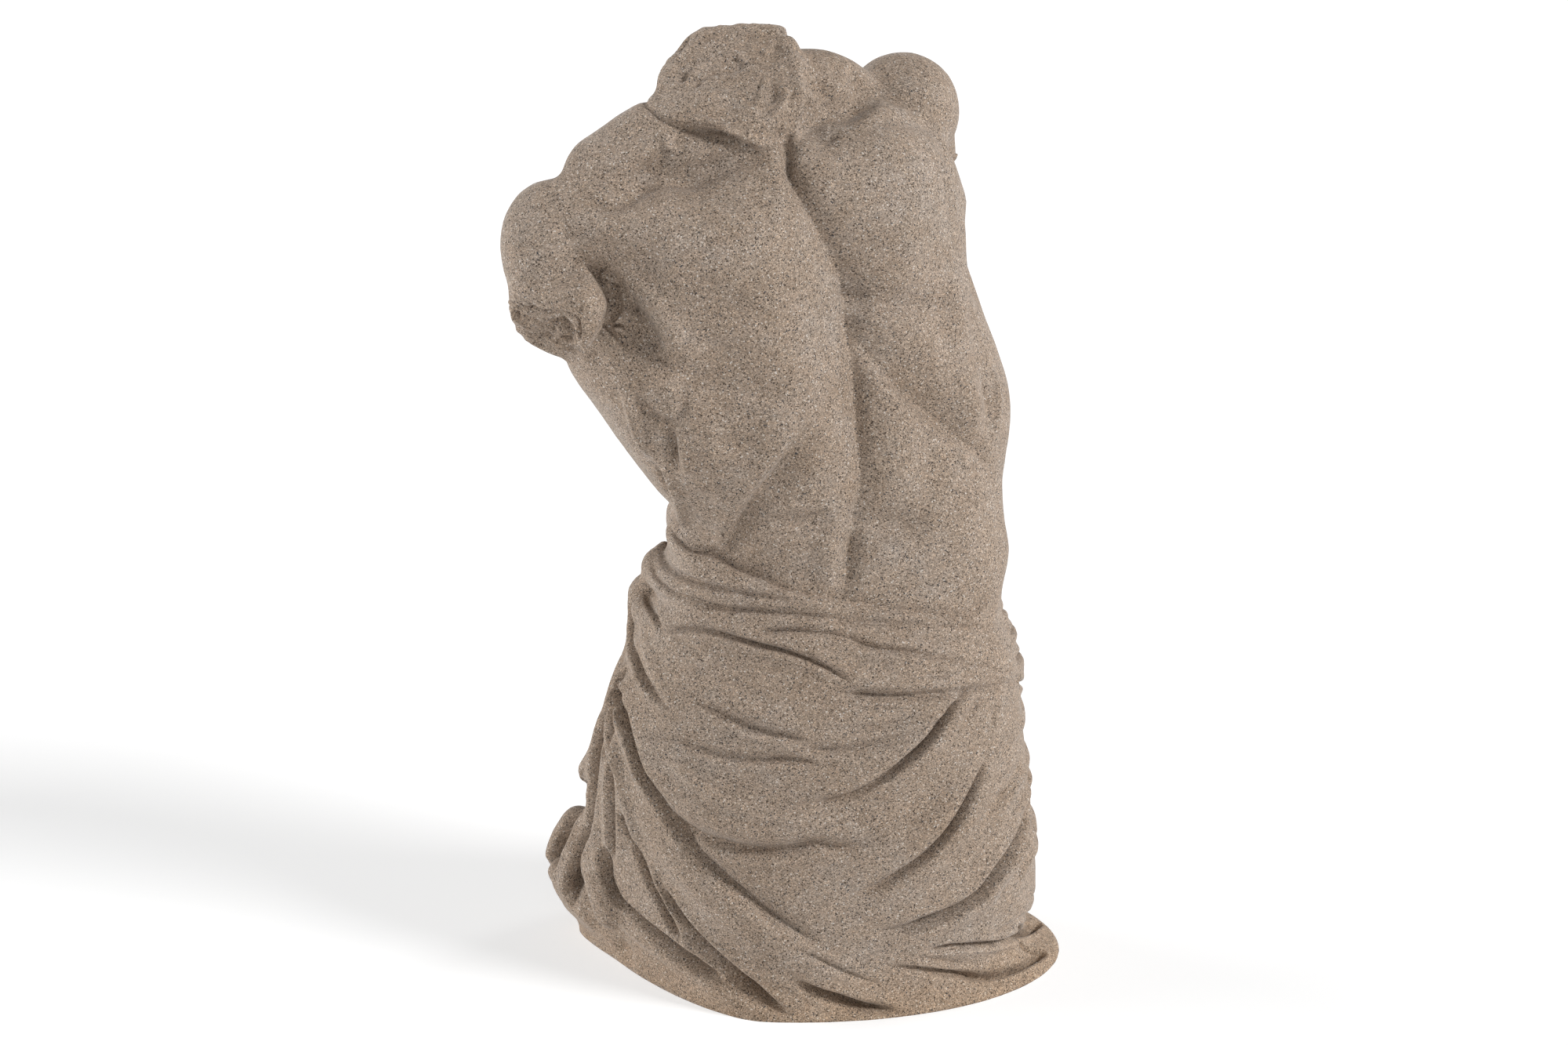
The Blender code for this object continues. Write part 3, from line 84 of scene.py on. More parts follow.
# height, left x, right x, back y, front y, turn, tilt, sag at the back, sag at the front, squareness
TRUNK = (
    (0.150, -0.080, 0.135, -0.080, 0.080, 0, 0, 0, 0, 2.3),
    (0.200, -0.082, 0.139, -0.082, 0.078, 0, 0, 0, 0, 2.3),
    (0.260, -0.070, 0.137, -0.074, 0.068, 2, 0, 0, 0, 2.3),
    (0.283, -0.062, 0.141, -0.071, 0.066, 5, 0, 0, 0, 2.3),
    (0.310, -0.065, 0.137, -0.070, 0.066, 12, 0, 0, 0, 2.3),
    (0.334, -0.083, 0.138, -0.071, 0.070, 18, 0, 0, 0, 2.3),
    (0.360, -0.100, 0.142, -0.073, 0.076, 22, 0, 0, 0, 2.35),
    (0.385, -0.116, 0.140, -0.075, 0.081, 25, 0, 0, 0, 2.4),
    (0.409, -0.131, 0.1315, -0.078, 0.085, 26, 0, 0, 0, 2.4),
    (0.434, -0.136, 0.1225, -0.080, 0.086, 26, 0, 0, 0, 2.4),
    (0.460, -0.135, 0.1145, -0.081, 0.084, 26, 2, 0, 0, 2.4),
    (0.485, -0.125, 0.110, -0.080, 0.078, 26, 5, 0, 0, 2.4),
    (0.510, -0.107, 0.103, -0.075, 0.070, 26, 9, 0, 0, 2.3),
    (0.530, -0.085, 0.086, -0.066, 0.060, 26, 13, 0, 0, 2.2),
    (0.548, -0.050, 0.060, -0.050, 0.045, 26, 16, 0, 0, 2.1),
)
SKIRT = (
    (-0.010, -0.138, 0.182, -0.088, 0.122, 4.5, 0, 0, 0, 2.05),
    (0.004, -0.138, 0.180, -0.089, 0.122, 4.5, 0, 0, 0, 2.05),
    (0.010, -0.138, 0.166, -0.088, 0.120, 4, 0, 0, 0, 2.05),
    (0.018, -0.137, 0.157, -0.088, 0.119, 2, 0, 0, 0, 2.05),
    (0.040, -0.136, 0.1635, -0.089, 0.119, 0, 0, 0, 0, 2.1),
    (0.080, -0.130, 0.163, -0.089, 0.110, -3, -2, 0, 0, 2.1),
    (0.120, -0.121, 0.1585, -0.090, 0.102, -3, -4, 0, 0, 2.15),
    (0.160, -0.1115, 0.155, -0.090, 0.096, -2, -7, 0, 0, 2.2),
    (0.200, -0.0975, 0.151, -0.089, 0.091, 0, -10, 0.002, 0.004, 2.2),
    (0.240, -0.076, 0.147, -0.085, 0.084, 1, -13, 0.005, 0.010, 2.2),
    (0.270, -0.072, 0.139, -0.079, 0.074, 2, -14, 0.009, 0.018, 2.2),
)

# The left back corner of the cloth is pushed in by the first value at the floor, which fades out at the
# height of the second.
CORNER = (0.105, 0.150)


def chest(u, w, z):
    """A point in the chest's own frame: u to the figure's right, w to the front of the chest."""
    turn = radians(CHEST_TURN)
    return Vector((-0.0095 + u * cos(turn) - w * sin(turn), 0.0015 + u * sin(turn) + w * cos(turn), z))


# Forms laid over the trunk and the skirt: points (px, py, depth) as seen, or x, y, z in metres, the radius
# at each, and the planes that cut the form. One point with three radii is a ball.
FORMS = {
    "left shoulder": ([(702, 314, -0.054)], (0.030, 0.036, 0.040)),
    "left arm": (
        [(708, 305, -0.052), (708, 370, -0.064), (706, 450, -0.072)], (0.030, 0.0275, 0.0270),
        LEFT_ARM_BREAK),
    "swollen end of the left arm": (
        [(708, 366, -0.074), (745, 384, -0.089), (750, 406, -0.0935), (743, 440, -0.0935)],
        (0.016, 0.0130, 0.0100, 0.0045)),
    "back of the left shoulder": ([(772, 236, -0.040), (741, 243, -0.046)], (0.018, 0.0160)),
    "left shoulder blade": (
        [(725, 292, -0.052), (790, 292, -0.060), (860, 300, -0.064)], (0.030, 0.030, 0.028)),
    "right shoulder": ([(1150, 140, 0.050)], (0.036, 0.040, 0.036)),
    "right arm": (
        [(0.074, 0.052, 0.552), (0.0815, 0.064, 0.530), (0.0875, 0.072, 0.480)], (0.032, 0.0255, 0.0250),
        RIGHT_ARM_BREAK),
    "right shoulder blade": (
        [(1095, 190, 0.010), (1150, 210, 0.020), (1180, 260, 0.020)], (0.034, 0.030, 0.026)),
    "slope of the left shoulder": (
        [(925, 175, -0.020), (850, 190, -0.028), (775, 225, -0.038)], (0.034, 0.032, 0.027)),
    "slope of the right shoulder": (
        [(985, 145, 0.000), (1038, 126, 0.016), (1092, 145, 0.032)], (0.032, 0.031, 0.026)),
    "left breast": (
        [chest(-0.040, 0.044, 0.452), chest(-0.080, 0.046, 0.460), chest(-0.128, 0.020, 0.480)],
        (0.044, 0.042, 0.030)),
    "right breast": (
        [chest(0.034, 0.044, 0.470), chest(0.066, 0.044, 0.486), chest(0.096, 0.016, 0.530)],
        (0.044, 0.042, 0.032)),
    "left collar bone": (
        [chest(-0.020, 0.036, 0.512), chest(-0.070, 0.036, 0.502), chest(-0.128, 0.018, 0.488)],
        (0.022, 0.022, 0.026)),
    "right collar bone": (
        [chest(0.010, 0.036, 0.520), chest(0.048, 0.028, 0.536), chest(0.090, 0.008, 0.550)],
        (0.024, 0.024, 0.026)),
    "neck": (
        [(958, 200, 0.000), (937, 140, -0.012), (932, 60, -0.020)], (0.040, 0.0445, 0.0448),
        NECK_BREAK, NECK_TOP, NECK_CORNER),
    "throat": (
        [(-0.026, 0.020, 0.500), (-0.030, 0.017, 0.560), (-0.031, 0.014, 0.630)], (0.038, 0.034, 0.033),
        NECK_BREAK, NECK_TOP, NECK_CORNER),
    "upper roll of cloth": (
        [(870, 645, 0.022), (866, 665, -0.005), (868, 690, -0.032), (888, 715, -0.047), (930, 735, -0.059),
         (985, 752, -0.069), (1050, 764, -0.074)], (0.005, 0.008, 0.0085, 0.0085, 0.008, 0.0075, 0.005)),
    "middle roll of cloth": (
        [(852, 698, 0.032), (834, 718, 0.008), (840, 735, -0.010), (868, 750, -0.039), (920, 762, -0.059),
         (985, 771, -0.070), (1060, 778, -0.075)], (0.006, 0.0085, 0.0085, 0.008, 0.0075, 0.007, 0.005)),
    "lower roll of cloth": (
        [(838, 730, 0.036), (817, 752, 0.015), (817, 775, -0.002), (850, 789, -0.030), (900, 797, -0.055),
         (970, 800, -0.071), (1060, 803, -0.078)], (0.006, 0.0085, 0.008, 0.0075, 0.007, 0.006, 0.004)),
    "bulge under the rolls": (
        [(814, 780, 0.000), (812, 805, 0.005), (814, 830, 0.010)], (0.006, 0.006, 0.004)),
    "strap of cloth at the left hip": (
        [(848, 714, 0.006), (829, 740, 0.006), (822, 768, 0.004), (819, 802, 0.000), (827, 838, -0.009),
         (843, 873, -0.029), (866, 905, -0.050)], (0.005, 0.0075, 0.0075, 0.0080, 0.0085, 0.008, 0.005)),
    "lower roll at the right hip": (
        [(1225, 852, -0.052), (1278, 852, -0.012), (1285, 850, 0.028), (1268, 842, 0.060)],
        (0.006, 0.0095, 0.0105, 0.007)),
    "upright roll at the right hip": (
        [(1272, 784, 0.002), (1281, 812, 0.004), (1287, 842, 0.006), (1281, 868, 0.008)],
        (0.005, 0.0065, 0.0075, 0.006)),
    "upper roll at the right hip": (
        [(1235, 806, -0.048), (1273, 808, -0.005), (1277, 812, 0.035)], (0.006, 0.010, 0.008)),
    "tuck at the left edge": (
        [(790, 930, 0.000), (766, 972, 0.012), (752, 982, 0.020), (796, 1000, 0.050)],
        (0.013, 0.010, 0.007, 0.008)),
    "outer gather": (
        [(738, 1047, 0.050), (722, 1078, 0.055), (728, 1122, 0.045), (758, 1158, 0.030)],
        (0.012, 0.0125, 0.013, 0.012)),
    "middle gather": (
        [(757, 1048, 0.030), (744, 1085, 0.036), (736, 1126, 0.032), (762, 1162, 0.016)],
        (0.011, 0.012, 0.013, 0.012)),
    "inner gather": (
        [(796, 1000, 0.012), (790, 1058, 0.008), (772, 1105, 0.006), (780, 1158, -0.003)],
        (0.014, 0.016, 0.015, 0.013)),
    "hem of the gathers": (
        [(850, 1098, 0.104), (785, 1116, 0.090), (742, 1134, 0.060), (759, 1158, 0.028),
         (811, 1193, -0.002), (854, 1237, -0.030), (900, 1262, -0.048), (958, 1274, -0.060)],
        (0.006, 0.011, 0.015, 0.0130, 0.013, 0.0125, 0.0115, 0.009)),
}


def stroke(kind):
    """A maker of the rows in the tables of strokes, for one kind of stroke."""
    return lambda *values, **style: (kind, values, style)


fold, ridge, swell, crease, sink, rough = map(stroke, ("fold", "ridge", "swell", "crease", "sink", "rough"))

# Strokes of the carving, in millimetres. A place is a picture point (px, py), or an angle round the axis
# and a height in metres. A knot of a fold is a place, a depth and the widths of its left and right banks,
# and a knot of a sink is a place, a depth and a reach. Relief, below, says what each kind of stroke does.

# furrow over the spine: a sharp floor, a broad bank on the right and a fuller one on the left
SPINE = (
    fold(
        (998, 160, 0, 8, 7), (1003, 186, 7, 11, 7), (1005, 212, 9.5, 14, 8), (1022, 243, 9, 24, 18),
        (1038, 270, 9.5, 28, 26), (1056, 300, 10.5, 30, 34), (1074, 338, 11.5, 30, 38),
        (1091, 378, 12, 28, 40), (1089, 405, 11, 24, 42), (1091, 432, 11, 24, 42),
        (1096, 462, 9.5, 22, 38), (1098, 500, 8, 18, 32), (1099, 550, 6.5, 15, 28),
        (1101, 600, 5, 16, 26), (1099, 632, 5, 22, 20), (1091, 665, 6, 26, 14), (1084, 700, 5.5, 18, 11),
        (1079, 738, 4.5, 13, 10), (1074, 762, 0, 8, 8), soft=0.08),
    fold(
        (1000, 176, 0, 5, 4), (1006, 205, 4, 8, 5), (1024, 240, 4, 10, 6), (1050, 288, 2.5, 14, 8),
        (1074, 336, 3, 16, 8), (1092, 378, 4, 18, 8), (1090, 410, 2.5, 14, 8), (1096, 460, 2.5, 14, 8),
        (1100, 520, 3, 9, 7), (1101, 575, 3, 9, 7), (1101, 620, 1.5, 9, 7), (1092, 662, 3, 14, 7),
        (1083, 705, 2.5, 8, 6), (1080, 745, 0, 6, 6), soft=0.12),
    ridge(
        (945, 250), (962, 330), (982, 410), (1000, 490), (1012, 570), (1022, 640), height=7, width=42,
        ends=0.2),
    ridge((1140, 495), (1148, 545), (1150, 600), (1142, 650), height=4, width=19),
    swell((1056, 712), radii=(13, 23), height=4.5, turn=6),
    swell((1025, 668), radii=(34, 12), height=-5, turn=-4),
    swell((1132, 670), radii=(24, 14), height=-6),
)

# under the neck: a roll of muscle that hangs over the shoulders
NECK_ROLL = (
    fold(
        (812, 126, 0, 4, 4), (828, 136, 2.5, 4, 5), (846, 150, 3.5, 5, 8), (868, 159, 5, 5, 14),
        (892, 163, 7.5, 4.5, 12), (925, 172, 8.5, 4.5, 10), (948, 182, 5, 4.5, 8), (972, 194, 0, 5, 7),
        lip=(3, 9), soft=0.08),
    swell((864, 178), radii=(7, 9), height=-2),
    ridge((876, 150), (915, 160), (950, 172), height=2, width=4),
    ridge((838, 158), (848, 178), (858, 198), height=2.5, width=5),
    ridge((935, 168), (968, 182), (992, 202), height=3, width=9),
)

# left shoulder blade, with the valley above it and the hollow below
LEFT_BLADE = (
    fold(
        (736, 238, 0, 6, 6), (754, 252, 3, 10, 10), (774, 261, 7, 14, 14), (806, 243, 7.5, 14, 16),
        (832, 216, 5, 11, 14), (848, 194, 2, 7, 9), (860, 182, 0, 5, 7), soft=0.25),
    fold(
        (842, 226, 0, 7, 9), (880, 216, 1.6, 7, 10), (930, 208, 1.2, 7, 10), (972, 200, 0, 6, 8),
        soft=0.3),
    ridge((755, 232), (790, 208), (822, 188), (846, 168), height=3, width=12),
    swell((885, 312), radii=(56, 44), height=7, turn=-20),
    ridge((722, 300), (745, 280), (772, 286), (810, 296), height=2.5, width=13),
    swell((735, 287), radii=(9, 8), height=2),
    swell((754, 268), radii=(8, 7), height=1.5),
    swell((828, 350), radii=(17, 22), height=-5, turn=15),
    ridge((792, 334), (814, 364), (838, 400), (858, 436), (872, 470), height=3.5, width=11, ends=0.25),
    fold(
        (845, 452, 0, 12, 12), (878, 480, 3.5, 16, 20), (925, 498, 3, 20, 22), (985, 498, 0, 16, 16),
        soft=0.3),
)

# left armpit, the flank set back behind the arm
LEFT_ARMPIT = (
    sink(
        (742, 334, 0, 10), (753, 348, 7, 16), (763, 364, 10, 22), (772, 386, 12, 26), (767, 404, 13, 28),
        (758, 422, 12, 30), (751, 438, 9, 30), (744, 454, 0, 26)),
    fold(
        (764, 346, 0, 7, 4), (784, 360, 5, 10, 6), (800, 384, 8, 12, 10), (815, 406, 10, 12, 14),
        (832, 434, 10, 12, 20), (845, 456, 6, 11, 24), (858, 480, 0, 9, 18), lip=(1, 9), soft=0.2),
    swell((806, 428), radii=(20, 22), height=-4),
)

# the swollen lower end of the left arm
LEFT_ARM_END = (
    ridge((672, 377), (695, 380), (725, 378), (750, 372), (762, 364), height=3, width=9),
    ridge((690, 350), (715, 350), (744, 340), height=-2.4, width=11),
    swell((676, 438), radii=(10, 7), height=-4),
)

# left ribs and flank
LEFT_FLANK = (
    ridge((798, 486), (806, 520), (816, 552), (832, 588), height=5, width=7),
    ridge((838, 578), (852, 606), (864, 638), (876, 668), (890, 698), height=4.5, width=8),
    ridge((868, 548), (872, 580), (884, 606), height=2.5, width=7),
    fold(
        (808, 496, 0, 4, 4), (818, 514, 3.5, 6, 6), (836, 531, 4, 7, 7), (856, 541, 4, 7, 7),
        (872, 520, 2.5, 6, 6), (872, 492, 0, 5, 5), soft=0.12),
    fold((852, 540, 0, 5, 5), (857, 560, 8, 7, 7), (860, 582, 8, 7, 7), (864, 600, 0, 6, 6), soft=0.12),
    fold((836, 588, 0, 4, 4), (846, 608, 4.5, 6, 6), (858, 632, 4, 6, 6), (868, 655, 0, 5, 5), soft=0.12),
    fold(
        (1026, 536, 0, 14, 10), (1006, 570, 6, 20, 12), (990, 600, 9, 24, 12), (964, 634, 6.5, 20, 10),
        (946, 664, 9, 18, 9), (932, 694, 4, 14, 7), (926, 716, 0, 8, 8), foot=(3, 14), soft=0.2),
    swell((905, 585), radii=(32, 44), height=4),
    swell((925, 452), radii=(22, 14), height=-2.5, turn=20),
    swell((940, 566), radii=(16, 11), height=-2.5),
    swell((898, 636), radii=(14, 12), height=-2.5),
    swell((972, 500), radii=(18, 10), height=-2),
    swell((940, 395), radii=(26, 14), height=-2, turn=30),
)

# right shoulder
RIGHT_SHOULDER = (
    fold(
        (1084, 80, 0, 8, 8), (1094, 100, 5, 14, 10), (1090, 130, 4, 14, 10), (1068, 158, 0, 10, 10),
        soft=0.3),
    fold(
        (1022, 152, 0, 10, 12), (1055, 168, 6, 13, 17), (1082, 158, 4, 13, 15), (1120, 151, 3.5, 13, 14),
        (1160, 154, 3, 10, 12), (1196, 168, 2.5, 6, 8), (1210, 190, 2.5, 6, 7), (82, 0.530, 1.2, 7, 8),
        soft=0.5),
    swell((1050, 166), radii=(12, 10), height=-3),
    ridge((1030, 92), (1046, 118), (1066, 140), height=-2.5, width=10),
    ridge((1016, 104), (1034, 124), (1056, 142), height=2, width=8),
    ridge((1048, 122), (1072, 116), (1092, 106), height=1.5, width=12),
)

# right shoulder blade and flank
RIGHT_FLANK = (
    swell((1158, 262), radii=(46, 62), height=6, turn=12),
    ridge((1178, 178), (1196, 205), (1212, 245), (1220, 290), height=3, width=9),
    ridge((1184, 162), (1204, 184), (1214, 214), height=1.8, width=4),
    fold(
        (1086, 380, 2, 12, 9), (1112, 388, 6, 16, 9), (1140, 391, 6, 16, 10), (1175, 392, 4.5, 15, 12),
        (1212, 396, 2.5, 14, 12), (1240, 400, 0, 10, 10), foot=(2.5, 16), soft=0.2),
    swell((1106, 384), radii=(10, 9), height=-2),
    swell((1118, 330), radii=(22, 40), height=-3.5, turn=-25),
    ridge(
        (1118, 412), (1150, 420), (1178, 440), (1205, 474), (1230, 510), (1255, 545), height=4, width=18,
        ends=0.2),
    fold(
        (1096, 424, 0, 16, 14), (1118, 456, 6, 22, 14), (1148, 492, 7.5, 20, 12),
        (1183, 524, 6.5, 18, 12), (1215, 552, 5.5, 17, 13), (1250, 578, 4.5, 15, 14),
        (1282, 592, 0, 12, 12), foot=(2.5, 18), soft=0.16),
    swell((1215, 660), radii=(44, 52), height=5),
    swell((1165, 672), radii=(14, 16), height=-2.5),
    ridge((1258, 455), (1270, 490), (1272, 530), (1266, 570), height=3, width=6),
    fold((1250, 462, 0, 5, 5), (1258, 500, 2.5, 5, 7), (1260, 545, 0, 5, 6), soft=0.2),
)

# the rolled top of the cloth and the wrap below it
BAND = (
    fold(
        (852, 664, 0, 5, 4), (868, 688, 2, 6, 4), (884, 700, 1.5, 5, 4), (912, 706, 4, 7, 4),
        (935, 721, 4, 8, 4), (970, 736, 4.5, 8, 4), (1005, 750, 4, 8, 4), (1080, 765, 2.5, 8, 4),
        (1170, 782, 2.5, 8, 4), (1230, 784, 2.5, 7, 4), (1282, 776, 2, 6, 4), foot=(2.5, 10), soft=0.12),
    fold(
        (846, 694, 0, 4, 4), (850, 718, 3, 4, 5), (874, 735, 3.5, 5, 5), (910, 748, 4, 5, 5),
        (950, 756, 3.5, 5, 4), (990, 761, 2, 5, 4), (1040, 768, 0, 4, 4), lip=(1.2, 8), foot=(1.8, 8),
        soft=0.1),
    fold(
        (830, 716, 0, 4, 4), (842, 742, 4, 5, 4), (858, 756, 4.5, 5, 4), (885, 765, 4.5, 5, 4),
        (915, 774, 4.5, 5, 4), (960, 779, 5, 5, 4), (990, 781, 4, 5, 4), (1050, 787, 3, 5, 4),
        (1120, 794, 2, 5, 4), (1200, 798, 1.6, 4, 4), (1290, 800, 1.2, 4, 4), lip=(1, 7), foot=(1.6, 8),
        soft=0.15),
    fold(
        (824, 754, 0, 3, 3), (828, 768, 4, 4, 4), (833, 782, 5, 4, 4), (840, 797, 3, 4, 4),
        (850, 808, 0, 4, 4), foot=(1, 7), soft=0.15),
    fold(
        (840, 800, 0, 6, 6), (865, 802, 3, 9, 5), (890, 802, 3, 9, 5), (920, 808, 4, 5.5, 4),
        (950, 817, 4.5, 4.5, 3.5), (1000, 830, 4.5, 4.5, 3.5), (1035, 842, 3.5, 4.5, 3.5),
        (1060, 853, 2, 4, 3.5), (1095, 880, 0, 4, 4), lip=(2.5, 15), foot=(3, 9), soft=0.06,
        core=(1.5, 2)),
    ridge((1040, 838), (1062, 846), (1088, 860), height=1.8, width=4),
    fold(
        (962, 807, 0, 4, 4), (985, 805, 4, 4, 4), (1015, 804, 3.5, 5, 4), (1050, 807, 2.5, 5, 4),
        (1080, 813, 2.5, 5, 4), (1110, 824, 4, 6, 4), (1160, 831, 3.5, 6, 4), (1215, 843, 2, 5, 5),
        (1296, 862, 1, 5, 5), lip=(1.5, 10), foot=(2, 10), soft=0.12),
    fold(
        (1062, 884, 0, 6, 5), (1100, 887, 6.5, 11, 5), (1140, 889, 6, 9, 4), (1190, 886, 4.5, 8, 4),
        (1240, 880, 3, 6, 4), (1298, 868, 2, 6, 4), lip=(3, 20), foot=(2.2, 8), soft=0.1),
    crease((1000, 790), (1070, 797), (1150, 812), (1220, 818), (1290, 825), depth=1.4, width=4),
    crease((1100, 850), (1160, 860), (1230, 862), (1290, 868), depth=1.4, width=4),
    crease((860, 812), (885, 828), (902, 850), depth=1.6, width=5),
)

# the long fold at the left edge of the wrap
WRAP_EDGE = (
    ridge((820, 776), (820, 804), (828, 838), (843, 872), (866, 905), height=1.5, width=7, ends=0.2),
    fold(
        (806, 762, 0, 5, 4), (804, 784, 4, 4, 4), (805, 812, 5, 4, 4), (812, 842, 6, 4, 4),
        (824, 870, 5, 5, 4), (842, 892, 2.5, 5, 4), (862, 908, 0, 5, 4), foot=(2, 10), soft=0.12),
)

# folds hung across the back, from the left hip to the right
SWAGS = (
    fold(
        (870, 890, 0, 9, 7), (900, 900, 2.5, 12, 7), (925, 912, 4, 12, 7), (960, 928, 4, 9, 5),
        (985, 936, 4, 8, 4), (1015, 942, 3, 7, 4), (1035, 947, 0, 6, 4), lip=(2.5, 20), foot=(2.6, 12),
        soft=0.2),
    fold(
        (826, 936, 0, 6, 6), (858, 942, 2.5, 9, 7), (890, 952, 3, 9, 6), (925, 964, 4, 9, 5),
        (955, 969, 4, 9, 5), (1000, 969, 4.5, 8, 4), (1030, 971, 4, 7, 4), (1048, 974, 0, 6, 4),
        lip=(2, 16), foot=(1.8, 12), soft=0.18),
    fold(
        (1008, 954, 0, 6, 6), (1045, 957, 4.5, 9, 6), (1085, 956, 3.5, 8, 6), (1130, 946, 3, 7, 5),
        (1170, 932, 2.2, 6, 5), (1205, 912, 1.5, 5, 4), (1230, 892, 0, 4, 4), lip=(1.6, 14),
        foot=(1.6, 12), soft=0.12),
    fold(
        (1045, 928, 0, 5, 5), (1100, 928, 1.6, 5, 5), (1150, 921, 2, 6, 5), (1190, 908, 2, 5, 5),
        (1228, 890, 0, 4, 4), lip=(1, 9), foot=(1, 8), soft=0.15),
)

# the deep fold under the right hip
RIGHT_HIP = (
    fold(
        (985, 1030, 0, 5, 4), (1050, 1022, 1.5, 5, 4), (1095, 1010, 3, 5, 3.5), (1120, 996, 5, 4, 3),
        (1150, 974, 7.5, 4.5, 3), (1175, 951, 9.5, 4.5, 3.5), (1195, 928, 8, 4, 3),
        (1210, 908, 6, 3.5, 3), (1224, 890, 3, 3, 3), (1240, 874, 0, 3, 3), lip=(3.5, 24), foot=(4.5, 20),
        soft=0.03, core=(6.5, 3.2)),
    fold(
        (1222, 924, 0, 5, 5), (1236, 912, 3, 7, 6), (1250, 896, 3, 7, 6), (1262, 880, 0, 5, 5),
        foot=(1.2, 8), soft=0.15),
    fold((1262, 940, 0, 4, 4), (1268, 915, 2.5, 5, 5), (1272, 892, 0, 4, 4), soft=0.2),
    ridge(
        (846, 956), (866, 976), (895, 1004), (930, 1026), (985, 1040), (1060, 1044), height=3.2, width=7,
        ends=0.2),
    ridge((856, 1002), (885, 1030), (925, 1050), (1000, 1058), (1080, 1048), height=3, width=12),
    fold(
        (852, 1036, 0, 8, 8), (880, 1062, 6, 18, 9), (920, 1077, 7, 15, 8), (960, 1086, 8, 14, 8),
        (1010, 1084, 7, 13, 8), (1040, 1076, 5, 12, 8), (1070, 1084, 6, 13, 8), (1105, 1076, 3.5, 12, 8),
        (1150, 1048, 0, 8, 8), lip=(3, 22), foot=(2.5, 14), soft=0.14),
)

# the two long folds that climb to the right hip
CLIMBING_FOLDS = (
    fold(
        (1080, 1142, 0, 9, 7), (1120, 1130, 3, 11, 6), (1150, 1112, 4.5, 7, 4.5), (1180, 1090, 6, 5, 4),
        (1205, 1064, 6.5, 4.5, 3.5), (1224, 1036, 6.5, 4.5, 3.5), (1238, 1010, 5, 4, 3.5),
        (1250, 986, 2.5, 4, 3.5), (1262, 958, 0, 5, 4), lip=(3, 22), foot=(4.5, 20), soft=0.05,
        core=(5, 3.2)),
    fold(
        (1105, 1186, 0, 8, 6), (1145, 1188, 4, 12, 6), (1188, 1174, 10, 8, 4.5), (1222, 1158, 13, 7, 4.5),
        (1250, 1138, 16, 7, 5), (1270, 1112, 16, 8, 6), (1286, 1090, 12, 8, 6), (84, 0.118, 4, 10, 8),
        (98, 0.150, 0, 8, 8), lip=(3, 20), foot=(4.5, 18), soft=0.05, core=(9, 5)),
    fold(
        (1255, 1040, 0, 6, 6), (1275, 1020, 3, 8, 8), (1295, 990, 3, 8, 8), (1304, 960, 0, 6, 6),
        foot=(2, 14), soft=0.3),
    fold(
        (1130, 1060, 0, 8, 8), (1160, 1040, 2.5, 10, 9), (1190, 1010, 2.5, 10, 9), (1210, 975, 0, 8, 8),
        soft=0.4),
    fold(
        (1262, 1196, 0, 4, 4), (1282, 1186, 6, 6, 4), (1300, 1175, 4, 5, 4), (1314, 1170, 0, 4, 4),
        foot=(1.4, 7)),
    fold((1232, 1192, 0, 4, 4), (1252, 1178, 2.5, 5, 5), (1266, 1166, 0, 4, 4), foot=(1, 7)),
    fold(
        (1182, 1213, 0, 5, 4), (1205, 1209, 5, 7, 5), (1240, 1207, 7, 8, 5), (1272, 1203, 9, 8, 5),
        (1300, 1191, 9, 8, 4), (1324, 1179, 7, 7, 4), (84, 0.062, 0, 5, 4), lip=(2.5, 10), foot=(1.5, 8),
        soft=0.05, core=(4, 3)),
    fold(
        (1160, 1222, 0, 4, 4), (1185, 1224, 2.2, 5, 4), (1215, 1229, 2.5, 6, 5), (1255, 1230, 0, 4, 4),
        foot=(1.2, 8)),
    fold(
        (1130, 1232, 0, 5, 4), (1165, 1236, 4, 7, 5), (1215, 1242, 6, 9, 5), (1265, 1244, 8, 9, 5),
        (1300, 1233, 8, 9, 4), (1330, 1215, 6, 8, 4), (78, 0.040, 0, 5, 4), lip=(2.2, 10), foot=(1.5, 8),
        soft=0.05, core=(4, 3)),
)

# the broad fold that runs down from the left hip
LONG_FALL = (
    fold(
        (800, 850, 0, 4, 3), (793, 866, 6, 5, 4), (792, 888, 10, 7, 5), (797, 910, 10, 6, 4.5),
        (803, 935, 8.5, 5, 4), (810, 960, 9, 5, 4), (819, 986, 8, 6, 4), (833, 1011, 6, 9, 5),
        (850, 1036, 5, 14, 6), (872, 1064, 5, 17, 7), (896, 1094, 4.5, 17, 7), (922, 1120, 5.5, 17, 7),
        (950, 1143, 5.5, 17, 7), (980, 1166, 5.5, 16, 7), (1008, 1184, 4, 14, 7), (1045, 1205, 0, 8, 7),
        lip=(1.5, 20), foot=(4.5, 14), soft=0.08, core=(5, 3.5)),
    ridge(
        (792, 1000), (815, 1036), (845, 1074), (882, 1116), (930, 1160), (990, 1206), (1060, 1246),
        (1140, 1272), height=5, width=19),
    ridge((778, 880), (780, 925), (786, 965), (800, 1005), height=2, width=8),
    ridge((789, 850), (785, 900), (785, 940), (789, 980), (797, 1018), height=3, width=6),
    ridge((788, 985), (798, 1020), (808, 1055), (818, 1092), height=3, width=7),
)

